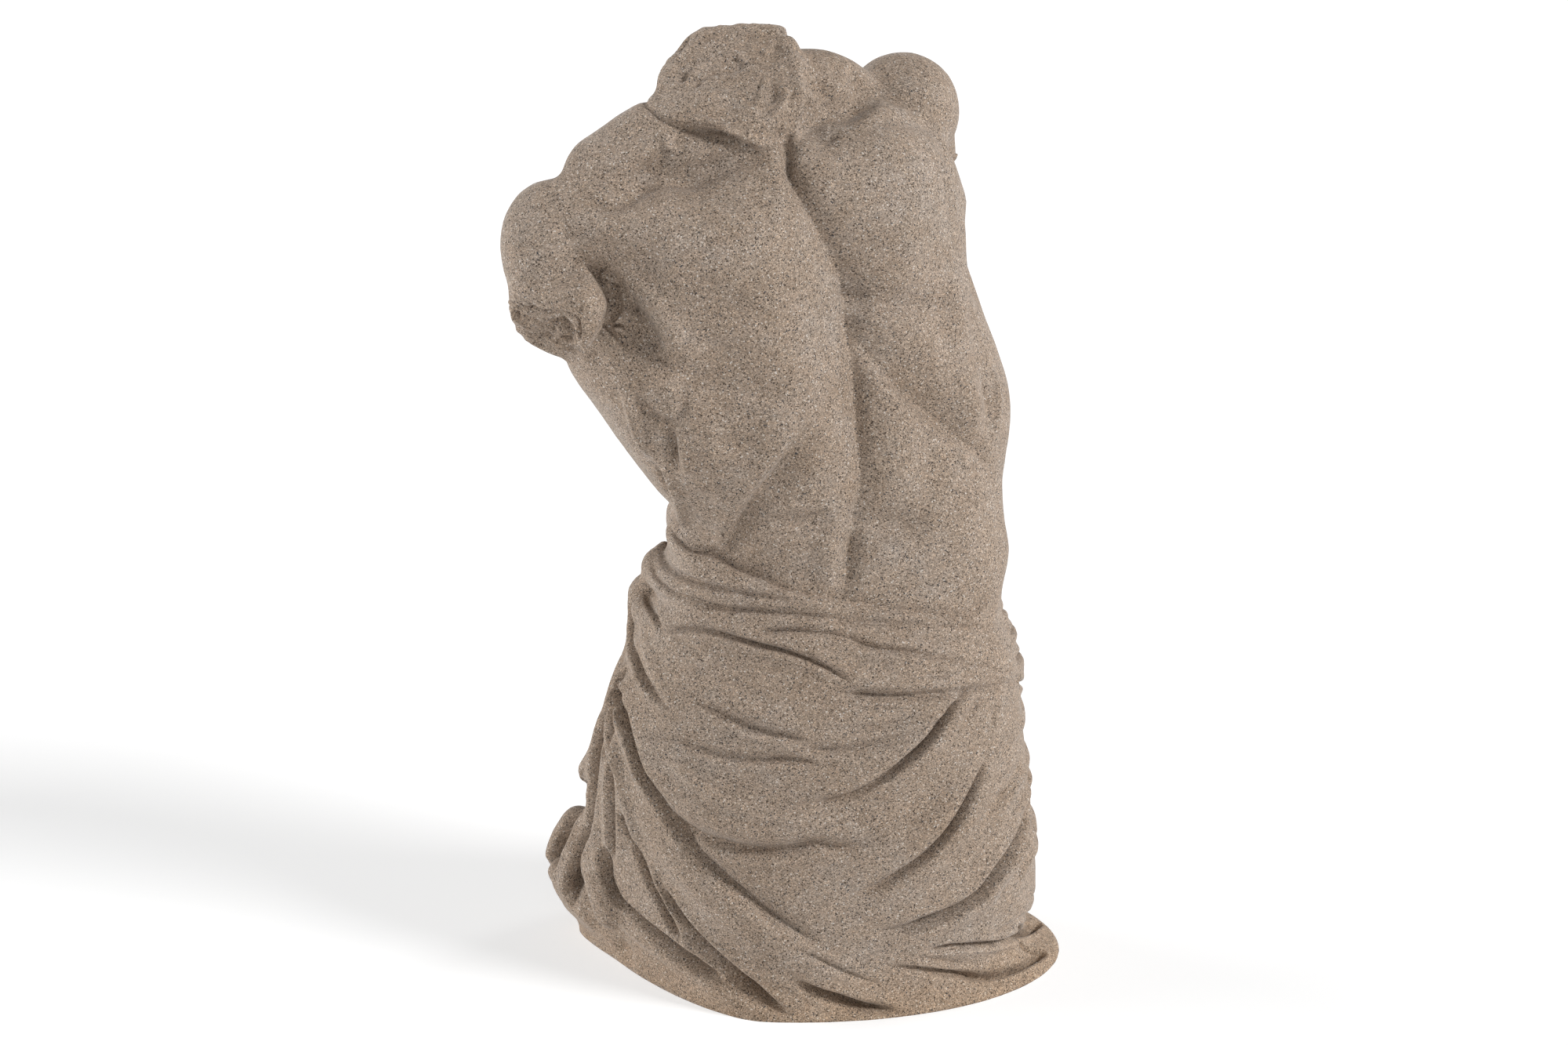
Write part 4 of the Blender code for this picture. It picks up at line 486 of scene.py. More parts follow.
# the gathered cloth outside that fold
LEFT_GATHERS = (
    fold((772, 936, 0, 4, 4), (773, 948, 6, 5, 5), (774, 962, 6, 5, 5), (777, 974, 0, 4, 4), soft=0.15),
    fold(
        (788, 1024, 0, 4, 4), (797, 1050, 5, 5, 5), (808, 1076, 6, 6, 5), (818, 1100, 13, 6, 6),
        (830, 1125, 15, 6, 7), (843, 1152, 13, 6, 6), (855, 1178, 10, 5, 5), (868, 1200, 0, 4, 4),
        soft=0.05, core=(5, 4)),
    ridge((824, 1092), (838, 1122), (852, 1152), (872, 1182), (898, 1210), height=3, width=4.5),
    fold(
        (842, 1128, 0, 4, 4), (856, 1150, 9, 5, 6), (876, 1180, 14, 6, 11), (898, 1206, 17, 7, 18),
        (928, 1234, 18, 7, 20), (958, 1258, 16, 7, 15), (985, 1280, 9, 6, 9), (1010, 1296, 0, 6, 6),
        lip=(2, 10), soft=0.04, core=(6, 5)),
    fold(
        (772, 1076, 0, 5, 5), (774, 1096, 6, 7, 6), (777, 1122, 8, 6, 6), (790, 1146, 9, 5, 6),
        (816, 1172, 10, 5, 6), (846, 1198, 12, 6, 8), (876, 1222, 13, 6, 8), (902, 1242, 8, 5, 6),
        (922, 1254, 0, 4, 4), foot=(2.5, 12), soft=0.05, core=(5, 4)),
    ridge(
        (752, 1112), (764, 1142), (792, 1172), (830, 1204), (866, 1232), (900, 1254), height=3, width=8),
    fold(
        (757, 1040, 0, 5, 5), (752, 1058, 7, 8, 8), (746, 1085, 10, 10, 9), (739, 1115, 10, 10, 9),
        (733, 1142, 6, 8, 7), (730, 1160, 0, 5, 5), soft=0.15),
    fold(
        (724, 1054, 0, 4, 4), (718, 1072, 4, 6, 5), (712, 1094, 4, 6, 5), (709, 1112, 0, 4, 4),
        soft=0.25),
    ridge((762, 1046), (761, 1080), (759, 1112), height=2, width=6),
    swell((798, 1212), radii=(14, 11), height=-4),
)

# lower edge of the fold, and the folded corner beneath it
FALL_HEM = (
    fold(
        (1000, 1200, 0, 4, 4), (1040, 1219, 3, 5, 4), (1085, 1241, 3.2, 5, 4), (1130, 1258, 0, 4, 4),
        lip=(1.5, 10), foot=(1, 8), soft=0.1),
    fold(
        (1012, 1246, 0, 5, 4), (1040, 1262, 9, 6, 7), (1068, 1272, 11, 6, 9), (1096, 1282, 12, 6, 9),
        (1122, 1286, 8, 6, 7), (1146, 1288, 0, 5, 5), lip=(1.5, 12), soft=0.05, core=(5, 4)),
    ridge((965, 1238), (1000, 1252), (1030, 1268), height=2, width=6),
)

# the broken neck: low ridges, hollows and pits on a nearly flat face
NECK_FACE = (
    rough(*NECK_BREAK, radius=0.050, thickness=0.006, coarse=3.0, fine=1.0),
    ridge(
        (1004, 50), (1013, 72), (1017, 105), (1018, 140), (1015, 172), (1008, 192), height=3, width=5,
        ends=0.2),
    ridge((866, 116), (884, 96), (905, 79), (930, 73), (962, 69), height=3.4, width=2.8),
    ridge((876, 122), (894, 104), (913, 91), (938, 85), (962, 82), height=-1.8, width=3.5),
    ridge((938, 70), (948, 78), (962, 83), height=2.2, width=2.5),
    ridge((972, 72), (988, 50), height=3.2, width=2.8),
    ridge((984, 86), (974, 112), (966, 144), height=3, width=3),
    ridge((974, 150), (992, 140), (1002, 128), (999, 104), height=3, width=3),
    swell((985, 122), radii=(6, 9), height=-2.5, turn=20),
    swell((872, 98), radii=(9, 7), height=-2.5),
    swell((905, 128), radii=(20, 16), height=2),
    ridge((852, 96), (862, 78), (880, 60), (906, 46), (938, 44), height=1.8, width=3),
    swell((982, 36), radii=(7, 6), height=2),
    swell((1004, 54), radii=(9, 12), height=2.5),
)

# the broken left arm, with a lip of stone round a hollow
LEFT_ARM_FACE = (
    rough(*LEFT_ARM_BREAK, radius=0.028, thickness=0.005, coarse=2.5, fine=2.0),
    fold(
        (660, 393, 0, 3, 4), (676, 391, 5, 3, 6), (700, 394, 5, 3, 7), (724, 399, 6, 3, 7),
        (736, 406, 7, 3, 6), (739, 420, 6, 3, 5), (738, 436, 0, 3, 4), lip=(1.2, 5), soft=0.06,
        core=(3, 2)),
    swell((724, 413), radii=(8, 9), height=-9, turn=-10),
    swell((724, 430), radii=(5, 4), height=-7),
    swell((658, 402), radii=(4, 6), height=-7, turn=-20),
    swell((682, 426), radii=(6, 4), height=-3, turn=30),
    swell((702, 418), radii=(5, 4), height=-3),
    ridge((664, 410), (684, 424), (705, 434), (722, 444), height=2, width=3),
)

# the broken right arm
RIGHT_ARM_FACE = (
    rough(*RIGHT_ARM_BREAK, radius=0.022, thickness=0.005, coarse=3.0, fine=2.0),
)

# low rolls of cloth that turn round the right side
SIDE_ROLLS = [
    ridge((px, py), (78, z), (92, z + 0.003), (110, z + 0.012), height=height, width=6)
    for px, py, z, height in (
        (1262, 948, 0.172, 2.6), (1268, 1012, 0.142, 2.4), (1276, 1052, 0.124, 2.8),
        (1272, 1128, 0.094, 3.4), (1292, 1152, 0.080, 3.0))
]


def mirrored(places, side, lift=0.0, shift=0):
    """Places (angle, height) on one side of the chest's middle line, or on the other where side is -1."""
    return [(MIDLINE + (angle - MIDLINE) * side + shift, z + lift) for angle, z in places]


def chest_and_belly():
    """The front of the body, plainer."""
    rows = [
        ridge((207, 0.530), (206, 0.490), (205, 0.440), (204, 0.405), height=-7, width=16, ends=0.15),
        ridge((204, 0.415), (202, 0.375), (198, 0.335), (192, 0.300), (186, 0.265),
              height=-4, width=11, ends=0.1),
    ]
    breast = ((209, 0.420), (222, 0.414), (238, 0.424), (252, 0.446))
    rib_arch = ((207, 0.402), (218, 0.386), (230, 0.362), (240, 0.334))
    flank = ((238, 0.400), (231, 0.360), (224, 0.320), (212, 0.284))
    for side in (-1, 1):
        lift = 0.012 * (1 - side) / 2
        rows += [
            crease(*mirrored(breast, side, lift)[::side], depth=3.5, width=9, above=(4, 24), ends=0.3),
            ridge(*mirrored(rib_arch, side), height=4, width=13),
            ridge(*mirrored(flank, side, shift=-6), height=-4.5, width=14),
            swell((198 + 54 * side, 0.312), radii=(40, 44), height=6),
        ]
        for z in (0.394, 0.366, 0.338, 0.306):
            middle = 203 - (0.394 - z) * 130
            rows.append(swell((middle + 12 * side, z - 0.013), radii=(20, 17), height=4))
        for k in range(4):
            rib = MIDLINE + (54 - 2 * k) * side, 0.428 - 0.024 * k + lift
            rows.append(swell(rib, radii=(22, 10), height=3.5, turn=25 * side))
    rows += [
        ridge((208, 0.533), (224, 0.530), (246, 0.522), height=4, width=9),
        ridge((202, 0.536), (186, 0.552), (164, 0.568), height=4, width=9),
    ]
    # the two cords of the throat
    for line in (((128, 0.590), (160, 0.566), (196, 0.544)), ((262, 0.590), (236, 0.566), (206, 0.544))):
        rows.append(ridge(*[(angle, z, *THROAT_AXIS) for angle, z in line], height=2.6, width=9))
    return rows + [
        swell((192, 0.309), radii=(6, 7), height=-7),
        swell((205, 0.538), radii=(13, 10), height=-6),
        ridge((84, 0.470), (80, 0.430), (76, 0.385), (72, 0.340), height=4, width=17),
        ridge((112, 0.500), (104, 0.465), (98, 0.430), height=-6, width=20),
        ridge((88, 0.330), (120, 0.300), (150, 0.272), height=-3, width=14),
    ]


def cloth_in_front():
    """The other sides of the cloth: the same band, swags and hanging folds, plainer."""
    rows = []
    edge = ((84, 0.246), (115, 0.232), (150, 0.232), (180, 0.238), (210, 0.252), (240, 0.275), (262, 0.296))
    for drop, depth in ((0.001, 3), (0.014, 3.5), (0.030, 4), (0.044, 3)):
        line = [(angle, z - drop * (1.1 - 0.25 * cos(radians(angle)))) for angle, z in edge]
        rows.append(crease(*line, depth=depth, width=5, above=(1.5, 9), below=(2, 10), ends=0.06))
    swags = (
        (((96, 0.196), (125, 0.180), (160, 0.177), (196, 0.192)), 5, 20),
        (((140, 0.151), (172, 0.147), (206, 0.165), (236, 0.206), (258, 0.237)), 8, 26),
        (((98, 0.152), (125, 0.124), (156, 0.113), (188, 0.119)), 7, 24),
        (((144, 0.080), (176, 0.078), (210, 0.099), (240, 0.151), (262, 0.204)), 9, 28),
        (((100, 0.098), (128, 0.067), (160, 0.052), (192, 0.057)), 7, 22),
        (((150, 0.022), (180, 0.025), (212, 0.046), (240, 0.096), (259, 0.156)), 8, 24),
        (((198, 0.136), (220, 0.162), (242, 0.200)), 3.5, 14),
        (((110, 0.122), (134, 0.101), (160, 0.096)), 3.5, 12),
        (((214, 0.068), (232, 0.098), (247, 0.134)), 4, 14),
        (((112, 0.048), (138, 0.033), (160, 0.030)), 3, 12),
    )
    for line, depth, bulge in swags:
        banks = {"above": (0.45 * depth, bulge), "below": (0.3 * depth, 18)}
        rows.append(crease(*line, depth=depth, width=(11, 7), ends=0.35, **banks))
    falls = (
        ((262, 0.235), (264, 0.170), (258, 0.100), (252, 0.040)),
        ((272, 0.210), (272, 0.150), (266, 0.090), (262, 0.035)),
        ((283, 0.190), (281, 0.130), (277, 0.080)),
    )
    for line in falls:
        rows.append(crease(*line, depth=9, width=(10, 8), above=(3, 16), below=(3, 16), ends=0.35))
    return rows


CARVING = (
    SPINE, NECK_ROLL, LEFT_BLADE, LEFT_ARMPIT, LEFT_ARM_END, LEFT_FLANK, RIGHT_SHOULDER, RIGHT_FLANK,
    chest_and_belly(), BAND, WRAP_EDGE, SWAGS, RIGHT_HIP, CLIMBING_FOLDS, SIDE_ROLLS, LONG_FALL,
    LEFT_GATHERS, FALL_HEM, cloth_in_front(), NECK_FACE, LEFT_ARM_FACE, RIGHT_ARM_FACE,
)

# slow waves of the whole skin: height and size in metres
WAVES = (0.0004, 0.022)
# patterns of a broken face, per metre
LUMPS, GRIT, PITS = 55, 140, 210
PITS_OFFSET = Vector((3, 1, 2))
# rings along a limb of two points, and of more
SHORT_LIMB, LONG_LIMB = 8, 40


def sight(px, py):
    """The direction in which a picture point lies, from the eye."""
    across = (px - PICTURE_CENTRE[0]) / FOCAL_PIXELS
    up = (PICTURE_CENTRE[1] - py) / FOCAL_PIXELS
    return FORWARD + UPWARD * up + Vector((across, 0, 0))


def at_depth(px, py, y):
    """The point seen at (px, py) that lies in the upright plane at depth y."""
    ray = sight(px, py)
    return EYE + ray * ((y - EYE.y) / ray.y)


def lengths_along(points):
    """The length of the line through the points, up to each of them."""
    return np.concatenate([[0], np.cumsum(np.linalg.norm(np.diff(points, axis=0), axis=1))])


def through(knots, values, at):
    """A smooth curve through the values at the knots, read at the places given."""
    knots = np.asarray(knots, float)
    values = np.asarray(values, float)
    slopes = np.gradient(values, knots, axis=0)
    i = np.clip(np.searchsorted(knots, at, side="right") - 1, 0, len(knots) - 2)
    span = knots[i + 1] - knots[i]
    t = (at - knots[i]) / span
    if values.ndim > 1:
        t, span = t[:, None], span[:, None]
    a, b = values[i], values[i + 1]
    da, db = slopes[i] * span, slopes[i + 1] * span
    rise = t * t * (3 - 2 * t)
    return a * (1 - rise) + b * rise + da * t * (1 - t) ** 2 + db * t * t * (t - 1)


def tube(bm, rings):
    """Joins closed rings of points into a tube and fills both ends."""
    rings = [[bm.verts.new(point) for point in ring] for ring in rings]
    for low, high in zip(rings, rings[1:]):
        for k in range(len(low)):
            n = (k + 1) % len(low)
            bm.faces.new((low[k], low[n], high[n], high[k]))
    bm.faces.new(list(reversed(rings[0])))
    bm.faces.new(rings[-1])


def loft(bm, stations, corner=(0, 1), rows=70, around=96):
    """A tube of rounded, turned sections whose sides reach exactly the x values given."""
    table = np.array(stations, float)
    at = np.linspace(table[0, 0], table[-1, 0], rows)
    angle = np.linspace(0, 2 * pi, around, endpoint=False)
    c, s = np.cos(angle), np.sin(angle)
    rings = []
    for z, level in zip(at, through(table[:, 0], table[:, 1:], at)):
        left, right, back, front, turn, tilt, dip, droop, square = level
        reach, depth, t = (right - left) / 2, (front - back) / 2, radians(turn)
        half = reach
        for _ in range(6):
            x = half * np.sign(c) * abs(c) ** (2 / square)
            y = depth * np.sign(s) * abs(s) ** (2 / square)
            across, deep = x * cos(t) - y * sin(t), x * sin(t) + y * cos(t)
            half *= reach / across.max()
        sag = dip * np.maximum(-deep / depth, 0) + droop * np.maximum(deep / depth, 0)
        up = z + across * tan(radians(tilt)) - sag
        # the corner is far to the left and on the back half
        leftmost = np.clip(-across / reach - 0.25, 0, 1) ** 1.3
        backmost = np.clip(0.5 - 0.8 * deep / depth, 0, 1)
        deep = deep + corner[0] * max(1 - z / corner[1], 0) * leftmost * backmost
        rings.append(zip((left + right) / 2 + across, (back + front) / 2 + deep, up))
    tube(bm, rings)


def ball(bm, centre, radii):
    """An ellipsoid."""
    matrix = Matrix.Translation(centre) @ Matrix.Diagonal((*radii, 1))
    bmesh.ops.create_icosphere(bm, subdivisions=4, radius=1, matrix=matrix)


def trim(bm, point, normal):
    """Cuts away what lies beyond a plane and closes the cut."""
    parts = list(bm.verts) + list(bm.edges) + list(bm.faces)
    bmesh.ops.bisect_plane(bm, geom=parts, plane_co=point, plane_no=normal, clear_outer=True)
    rim = [edge for edge in bm.edges if edge.is_boundary]
    bmesh.ops.contextual_create(bm, geom=rim)


def limb(bm, points, radii, cuts, around=32):
    """A round tube along a smooth path, with a radius at each point, cut flat at planes (point, normal)."""
    points = np.array([tuple(p) for p in points], float)
    length = lengths_along(points)
    at = np.linspace(0, length[-1], SHORT_LIMB if len(points) == 2 else LONG_LIMB)
    path = through(length, points, at)
    width = through(length, np.array(radii, float), at)
    tangent = np.gradient(path, axis=0)
    tangent /= np.linalg.norm(tangent, axis=1)[:, None]
    cap = np.linspace(0, pi / 2, 8)[1:-1]
    start = [(path[0] - tangent[0] * width[0] * cos(a), tangent[0], width[0] * sin(a)) for a in cap]
    end = [(path[-1] + tangent[-1] * width[-1] * cos(a), tangent[-1], width[-1] * sin(a)) for a in cap]
    side = Vector(tangent[0]).orthogonal().normalized()
    rings = []
    for centre, along, r in start + list(zip(path, tangent, width)) + end[::-1]:
        along = Vector(along)
        side = (side - along * side.dot(along)).normalized()
        other = along.cross(side)
        turns = [2 * pi * k / around for k in range(around)]
        rings.append([Vector(centre) + (side * cos(a) + other * sin(a)) * r for a in turns])
    piece = bmesh.new()
    tube(piece, rings)
    for cut in cuts:
        trim(piece, *cut)
    joined = bpy.data.meshes.new("limb")
    piece.to_mesh(joined)
    piece.free()
    bm.from_mesh(joined)
    bpy.data.meshes.remove(joined)


def masses():
    """The large forms, each closed, overlapping where they meet."""
    bm = bmesh.new()
    loft(bm, TRUNK)
    loft(bm, SKIRT, CORNER)
    for points, radii, *cuts in FORMS.values():
        points = [at_depth(*p) if p[0] > 1 else Vector(p) for p in points]
        if len(points) == 1:
            ball(bm, points[0], radii)
        else:
            limb(bm, points, radii, cuts)
    return bm


def apply_modifiers(obj):
    """Works the modifiers of a piece into its mesh, in their order."""
    bpy.context.view_layer.objects.active = obj
    for name in obj.modifiers.keys():
        bpy.ops.object.modifier_apply(modifier=name)


def fused(name, bm):
    """One skin round all the masses, softened at the joins and flat underneath."""
    mesh = bpy.data.meshes.new(name)
    bm.to_mesh(mesh)
    bm.free()
    obj = bpy.data.objects.new(name, mesh)
    bpy.context.scene.collection.objects.link(obj)
    skin = obj.modifiers.new("skin", "REMESH")
    skin.mode, skin.voxel_size = "VOXEL", VOXEL
    blend = obj.modifiers.new("blend", "SMOOTH")
    blend.factor, blend.iterations = 0.5, SOFTENING
    finer = obj.modifiers.new("finer", "SUBSURF")
    finer.levels = finer.render_levels = SUBDIVISIONS
    apply_modifiers(obj)
    level = bmesh.new()
    level.from_mesh(obj.data)
    trim(level, Vector((0, 0, 0)), Vector((0, 0, -1)))
    level.to_mesh(obj.data)
    level.free()
    return obj


def bank(distance, height, reach):
    """The rounded bank beside a valley, which has its full height at a third of its reach."""
    full = 27 / 4
    u = np.clip(distance / reach, 0, 1)
    return height * full * u * (1 - u) ** 2


class Relief:
    """Heights to be raised or sunk along the normals of a skin, gathered stroke by stroke."""

    def __init__(self, obj):
        mesh = obj.data
        count = len(mesh.vertices)
        self.mesh = mesh
        self.points = np.empty(count * 3)
        mesh.vertices.foreach_get("co", self.points)
        self.points = self.points.reshape(-1, 3)
        self.normals = np.empty(count * 3)
        mesh.vertices.foreach_get("normal", self.normals)
        self.normals = self.normals.reshape(-1, 3)
        self.rise = np.zeros(count)
        self.sunk = np.zeros(count)
        self.tree = BVHTree.FromPolygons(
            [Vector(p) for p in self.points], [tuple(f.vertices) for f in mesh.polygons]
        )

    def seen(self, px, py):
        """The point of the skin seen at a picture point, or the nearest to that line of sight."""
        ray = sight(px, py)
        hit = self.tree.ray_cast(EYE, ray)[0]
        return hit or self.tree.find_nearest(EYE + ray * SKIN_DISTANCE)[0]

    def around(self, angle, z, x=AXIS[0], y=AXIS[1]):
        """The point of the skin at a height, at an angle round the axis: 0 at the back, 90 at the right."""
        out = Vector((sin(radians(angle)), -cos(radians(angle)), 0))
        axis = Vector((x, y, z))
        hit = self.tree.ray_cast(axis + out * 0.5, -out)[0]
        return hit or self.tree.find_nearest(axis + out * 0.1)[0]

    def spot(self, place):
        """The point of the skin at a picture point, or at an angle and a height, which is under a metre."""
        return self.around(*place) if place[1] < 1 else self.seen(*place)

    def trail(self, places, step=0.0025):
        """A line on the skin, smoothly through the places: its points, their normals, and the part of the
        way at which each place lies."""
        knots = np.array([tuple(self.spot(place)) for place in places])
        length = lengths_along(knots)
        at = np.linspace(0, length[-1], max(int(length[-1] / step), 4))
        found = [self.tree.find_nearest(Vector(p))[:2] for p in through(length, knots, at)]
        points, normals = (np.array([tuple(f[k]) for f in found]) for k in (0, 1))
        return points, normals, length / length[-1]

    def beside(self, places, reach):
        """The vertices within reach (mm) of a trail: index, signed distance in mm (left is positive) and
        part of the way. Last, the part of the way at which each place lies."""
        reach = reach / 1000
        line, facing, marks = self.trail(places)
        low, high = line.min(0) - reach, line.max(0) + reach
        near = np.flatnonzero(((self.points > low) & (self.points < high)).all(1))
        start, run = line[:-1], np.diff(line, axis=0)
        square = (run**2).sum(1)
        best = np.full(len(near), np.inf)
        side, way = np.zeros(len(near)), np.zeros(len(near))
        here = self.points[near]
        for k in np.flatnonzero(square):
            offset = here - start[k]
            t = np.clip(offset @ run[k] / square[k], 0, 1)
            gap = offset - t[:, None] * run[k]
            d = (gap**2).sum(1)
            closer = d < best
            best[closer] = d[closer]
            way[closer] = (k + t[closer]) / len(run)
            side[closer] = np.sign(np.cross(run[k], gap[closer]) @ facing[k])
        toward = (self.normals[near] * facing[np.minimum((way * len(run)).astype(int), len(run))]).sum(1)
        distance = np.sqrt(best)
        keep = (distance < reach) & (toward > 0)
        return near[keep], (side * distance)[keep] * 1000, way[keep], marks

    def crease(self, *places, depth, width, above=(0, 12), below=(0, 12), ends=0.25):
        """A sharp valley. Its banks can rise to a lip: (height, reach) above and below, going right."""
        widths = width if isinstance(width, tuple) else (width, width)
        reach = max(*widths, above[1] if above[0] else 0, below[1] if below[0] else 0)
        near, d, way, _ = self.beside(places, reach)
        fade = np.clip(np.minimum(way, 1 - way) / ends, 0, 1)
        fade = np.sqrt(fade * (2 - fade))
        cut = np.where(d > 0, widths[0], widths[1]) * (0.45 + 0.55 * fade)
        rise = bank(d, *above) + bank(-d, *below) - depth * np.clip(1 - abs(d) / cut, 0, 1) ** 2
        self.rise[near] += rise * fade / 1000

    def fold(self, *knots, lip=(0, 12), foot=(0, 12), soft=0.1, core=(0, 3)):
        """A valley that varies along its way, through knots (place, depth, widths of left and right bank).

        The banks can rise to a rounded lip (left of the way) or foot (right of it), given as height and
        reach, and the bottom can have a narrow core, given as depth and width.
        """
        places = [knot[:2] for knot in knots]
        depths, lefts, rights = zip(*[knot[2:] for knot in knots])
        reach = max(*lefts, *rights, lip[1] if lip[0] else 0, foot[1] if foot[0] else 0)
        near, d, way, marks = self.beside(places, reach)
        depth = np.interp(way, marks, depths)
        width = np.where(d > 0, np.interp(way, marks, lefts), np.interp(way, marks, rights))
        u = np.minimum(np.sqrt((d / width) ** 2 + soft**2) - soft, 1)
        share = depth / max(depths)
        rise = -depth * (1 - u) ** 2 - core[0] * share * np.clip(1 - abs(d) / core[1], 0, 1) ** 2
        self.rise[near] += (rise + share * (bank(d, *lip) + bank(-d, *foot))) / 1000

    def ridge(self, *places, height, width, ends=0.3):
        """A rounded ridge of a given half width, or a rounded valley if the height is negative."""
        near, d, way, _ = self.beside(places, width)
        fade = np.clip(np.minimum(way, 1 - way) / ends, 0, 1)
        fade = fade * fade * (3 - 2 * fade)
        x = np.clip(abs(d) / width, 0, 1)
        self.rise[near] += height / 1000 * fade * (1 - x * x) ** 2

    def swell(self, place, radii, height, turn=0.0):
        """A rounded mound, or a hollow if the height is negative, turned clockwise in degrees."""
        centre, normal = self.tree.find_nearest(self.spot(place))[:2]
        up = (Vector((0, 0, 1)) - normal * normal.z).normalized()
        across = up.cross(normal)
        t = radians(turn)
        u, v = across * cos(t) - up * sin(t), across * sin(t) + up * cos(t)
        offset = (self.points - np.array(centre)) * 1000
        r2 = (offset @ np.array(u) / radii[0]) ** 2 + (offset @ np.array(v) / radii[1]) ** 2
        r2 += (offset @ np.array(normal) / max(radii)) ** 2
        near = (r2 < 1) & (self.normals @ np.array(normal) > 0)
        self.rise[near] += height / 1000 * (1 - r2[near]) ** 2

    def sink(self, *knots, edge=1.5):
        """Sets the skin back behind an edge, left of the way, through knots (place, depth, reach)."""
        places = [knot[:2] for knot in knots]
        depths, reaches = zip(*[knot[2:] for knot in knots])
        near, d, way, marks = self.beside(places, max(reaches))
        d = np.maximum(d, 0)
        past = np.clip(d / edge, 0, 1)
        fade = np.clip(1 - d / np.interp(way, marks, reaches), 0, 1)
        drop = np.interp(way, marks, depths) * past**2 * (3 - 2 * past) * fade**1.5
        self.sunk[near] = np.maximum(self.sunk[near], drop / 1000)

    def rough(self, point, normal, radius, thickness, coarse, fine):
        """A broken face: uneven, with small hollows, near a plane and within a radius of its point."""
        offset = self.points - np.array(point)
        level = offset @ np.array(normal.normalized())
        near = np.flatnonzero((abs(level) < thickness) & ((offset**2).sum(1) < radius**2))
        for k in near:
            spot = Vector(self.points[k])
            edge = 1 - (offset[k] ** 2).sum() / radius**2
            lump = noise.noise(spot * LUMPS) * coarse + noise.noise(spot * GRIT) * fine
            pit = max(noise.noise(spot * PITS + PITS_OFFSET) - 0.1, 0) * -2.0 * fine
            self.rise[k] += (lump + pit) * min(edge * 4, 1) / 1000

    def uneven(self, height, size):
        """Gives the whole skin slow, shallow waves."""
        places = [Vector(p) for p in self.points]
        waves = [noise.noise(p / size) + 0.4 * noise.noise(p * 2.7 / size) for p in places]
        self.rise += height * np.array(waves)

    def apply(self):
        """Moves the skin and sets its underside flat on the floor."""
        moved = self.points + self.normals * self.rise[:, None] + np.array(FORWARD) * self.sunk[:, None]
        moved[:, 2] = np.where(self.points[:, 2] < 1e-5, 0, np.maximum(moved[:, 2], 0))
        self.mesh.vertices.foreach_set("co", moved.ravel())
        self.mesh.update()


def carve(obj, tables):
    """Draws every stroke of the tables on a piece, and the slow waves over all of it."""
    relief = Relief(obj)
    for table in tables:
        for kind, values, style in table:
            getattr(relief, kind)(*values, **style)
    relief.uneven(*WAVES)
    relief.apply()


def facet(obj, most):
    """Leaves at most this many triangles, most of them where the carving turns."""
    triangles = sum(len(face.vertices) - 2 for face in obj.data.polygons)
    if triangles > most:
        fewer = obj.modifiers.new("facets", "DECIMATE")
        fewer.ratio = most / triangles
        apply_modifiers(obj)


class Socket:
    """A shader value that can be added, multiplied and compared like a number."""

    def __init__(self, graph, socket):
        self.graph, self.socket = graph, socket

    def _maths(self, operation, *values):
        return self.graph.node("ShaderNodeMath", {"operation": operation}, *values)

    def __add__(self, other):
        return self._maths("ADD", self, other)

    def __radd__(self, other):
        return self._maths("ADD", other, self)

    def __sub__(self, other):
        return self._maths("SUBTRACT", self, other)

    def __rsub__(self, other):
        return self._maths("SUBTRACT", other, self)

    def __mul__(self, other):
        return self._maths("MULTIPLY", self, other)

    def __rmul__(self, other):
        return self._maths("MULTIPLY", other, self)

    def __gt__(self, other):
        return self._maths("GREATER_THAN", self, other)

    def __lt__(self, other):
        return self._maths("LESS_THAN", self, other)


class Graph:
    """The nodes of one material, with the piece's own place ready as a vector."""

    def __init__(self, name):
        self.material = bpy.data.materials.new(name)
        self.material.use_nodes = True
        self.tree = self.material.node_tree
        self.surface = self.tree.nodes["Principled BSDF"]
        self.place = self.node("ShaderNodeTexCoord", {}, out="Object")

    def node(self, kind, settings, *values, out=0, **named):
        """Adds a node with its settings, and feeds its sockets by number or by name."""
        made = self.tree.nodes.new(kind)
        for name, value in settings.items():
            if name == "stops":
                ramp = made.color_ramp
                while len(ramp.elements) < len(value):
                    ramp.elements.new(0.5)
                for element, (at, colour) in zip(ramp.elements, value):
                    element.position, element.color = at, (*colour, 1)
            else:
                setattr(made, name, value)
        for key, value in list(enumerate(values)) + list(named.items()):
            self.feed(made.inputs[key], value)
        return Socket(self, made.outputs[out])

    def feed(self, target, value):
        """Links a value to a socket, or sets it there."""
        if isinstance(value, Socket):
            self.tree.links.new(value.socket, target)
        else:
            target.default_value = value

    def blend(self, factor, one, other, mode="MIX"):
        """Mixes two colours."""
        made = self.tree.nodes.new("ShaderNodeMix")
        made.data_type, made.blend_type = "RGBA", mode
        for index, value in ((0, factor), (6, one), (7, other)):
            if not isinstance(value, Socket) and index:
                value = (*value, 1)
            self.feed(made.inputs[index], value)
        return Socket(self, made.outputs[2])


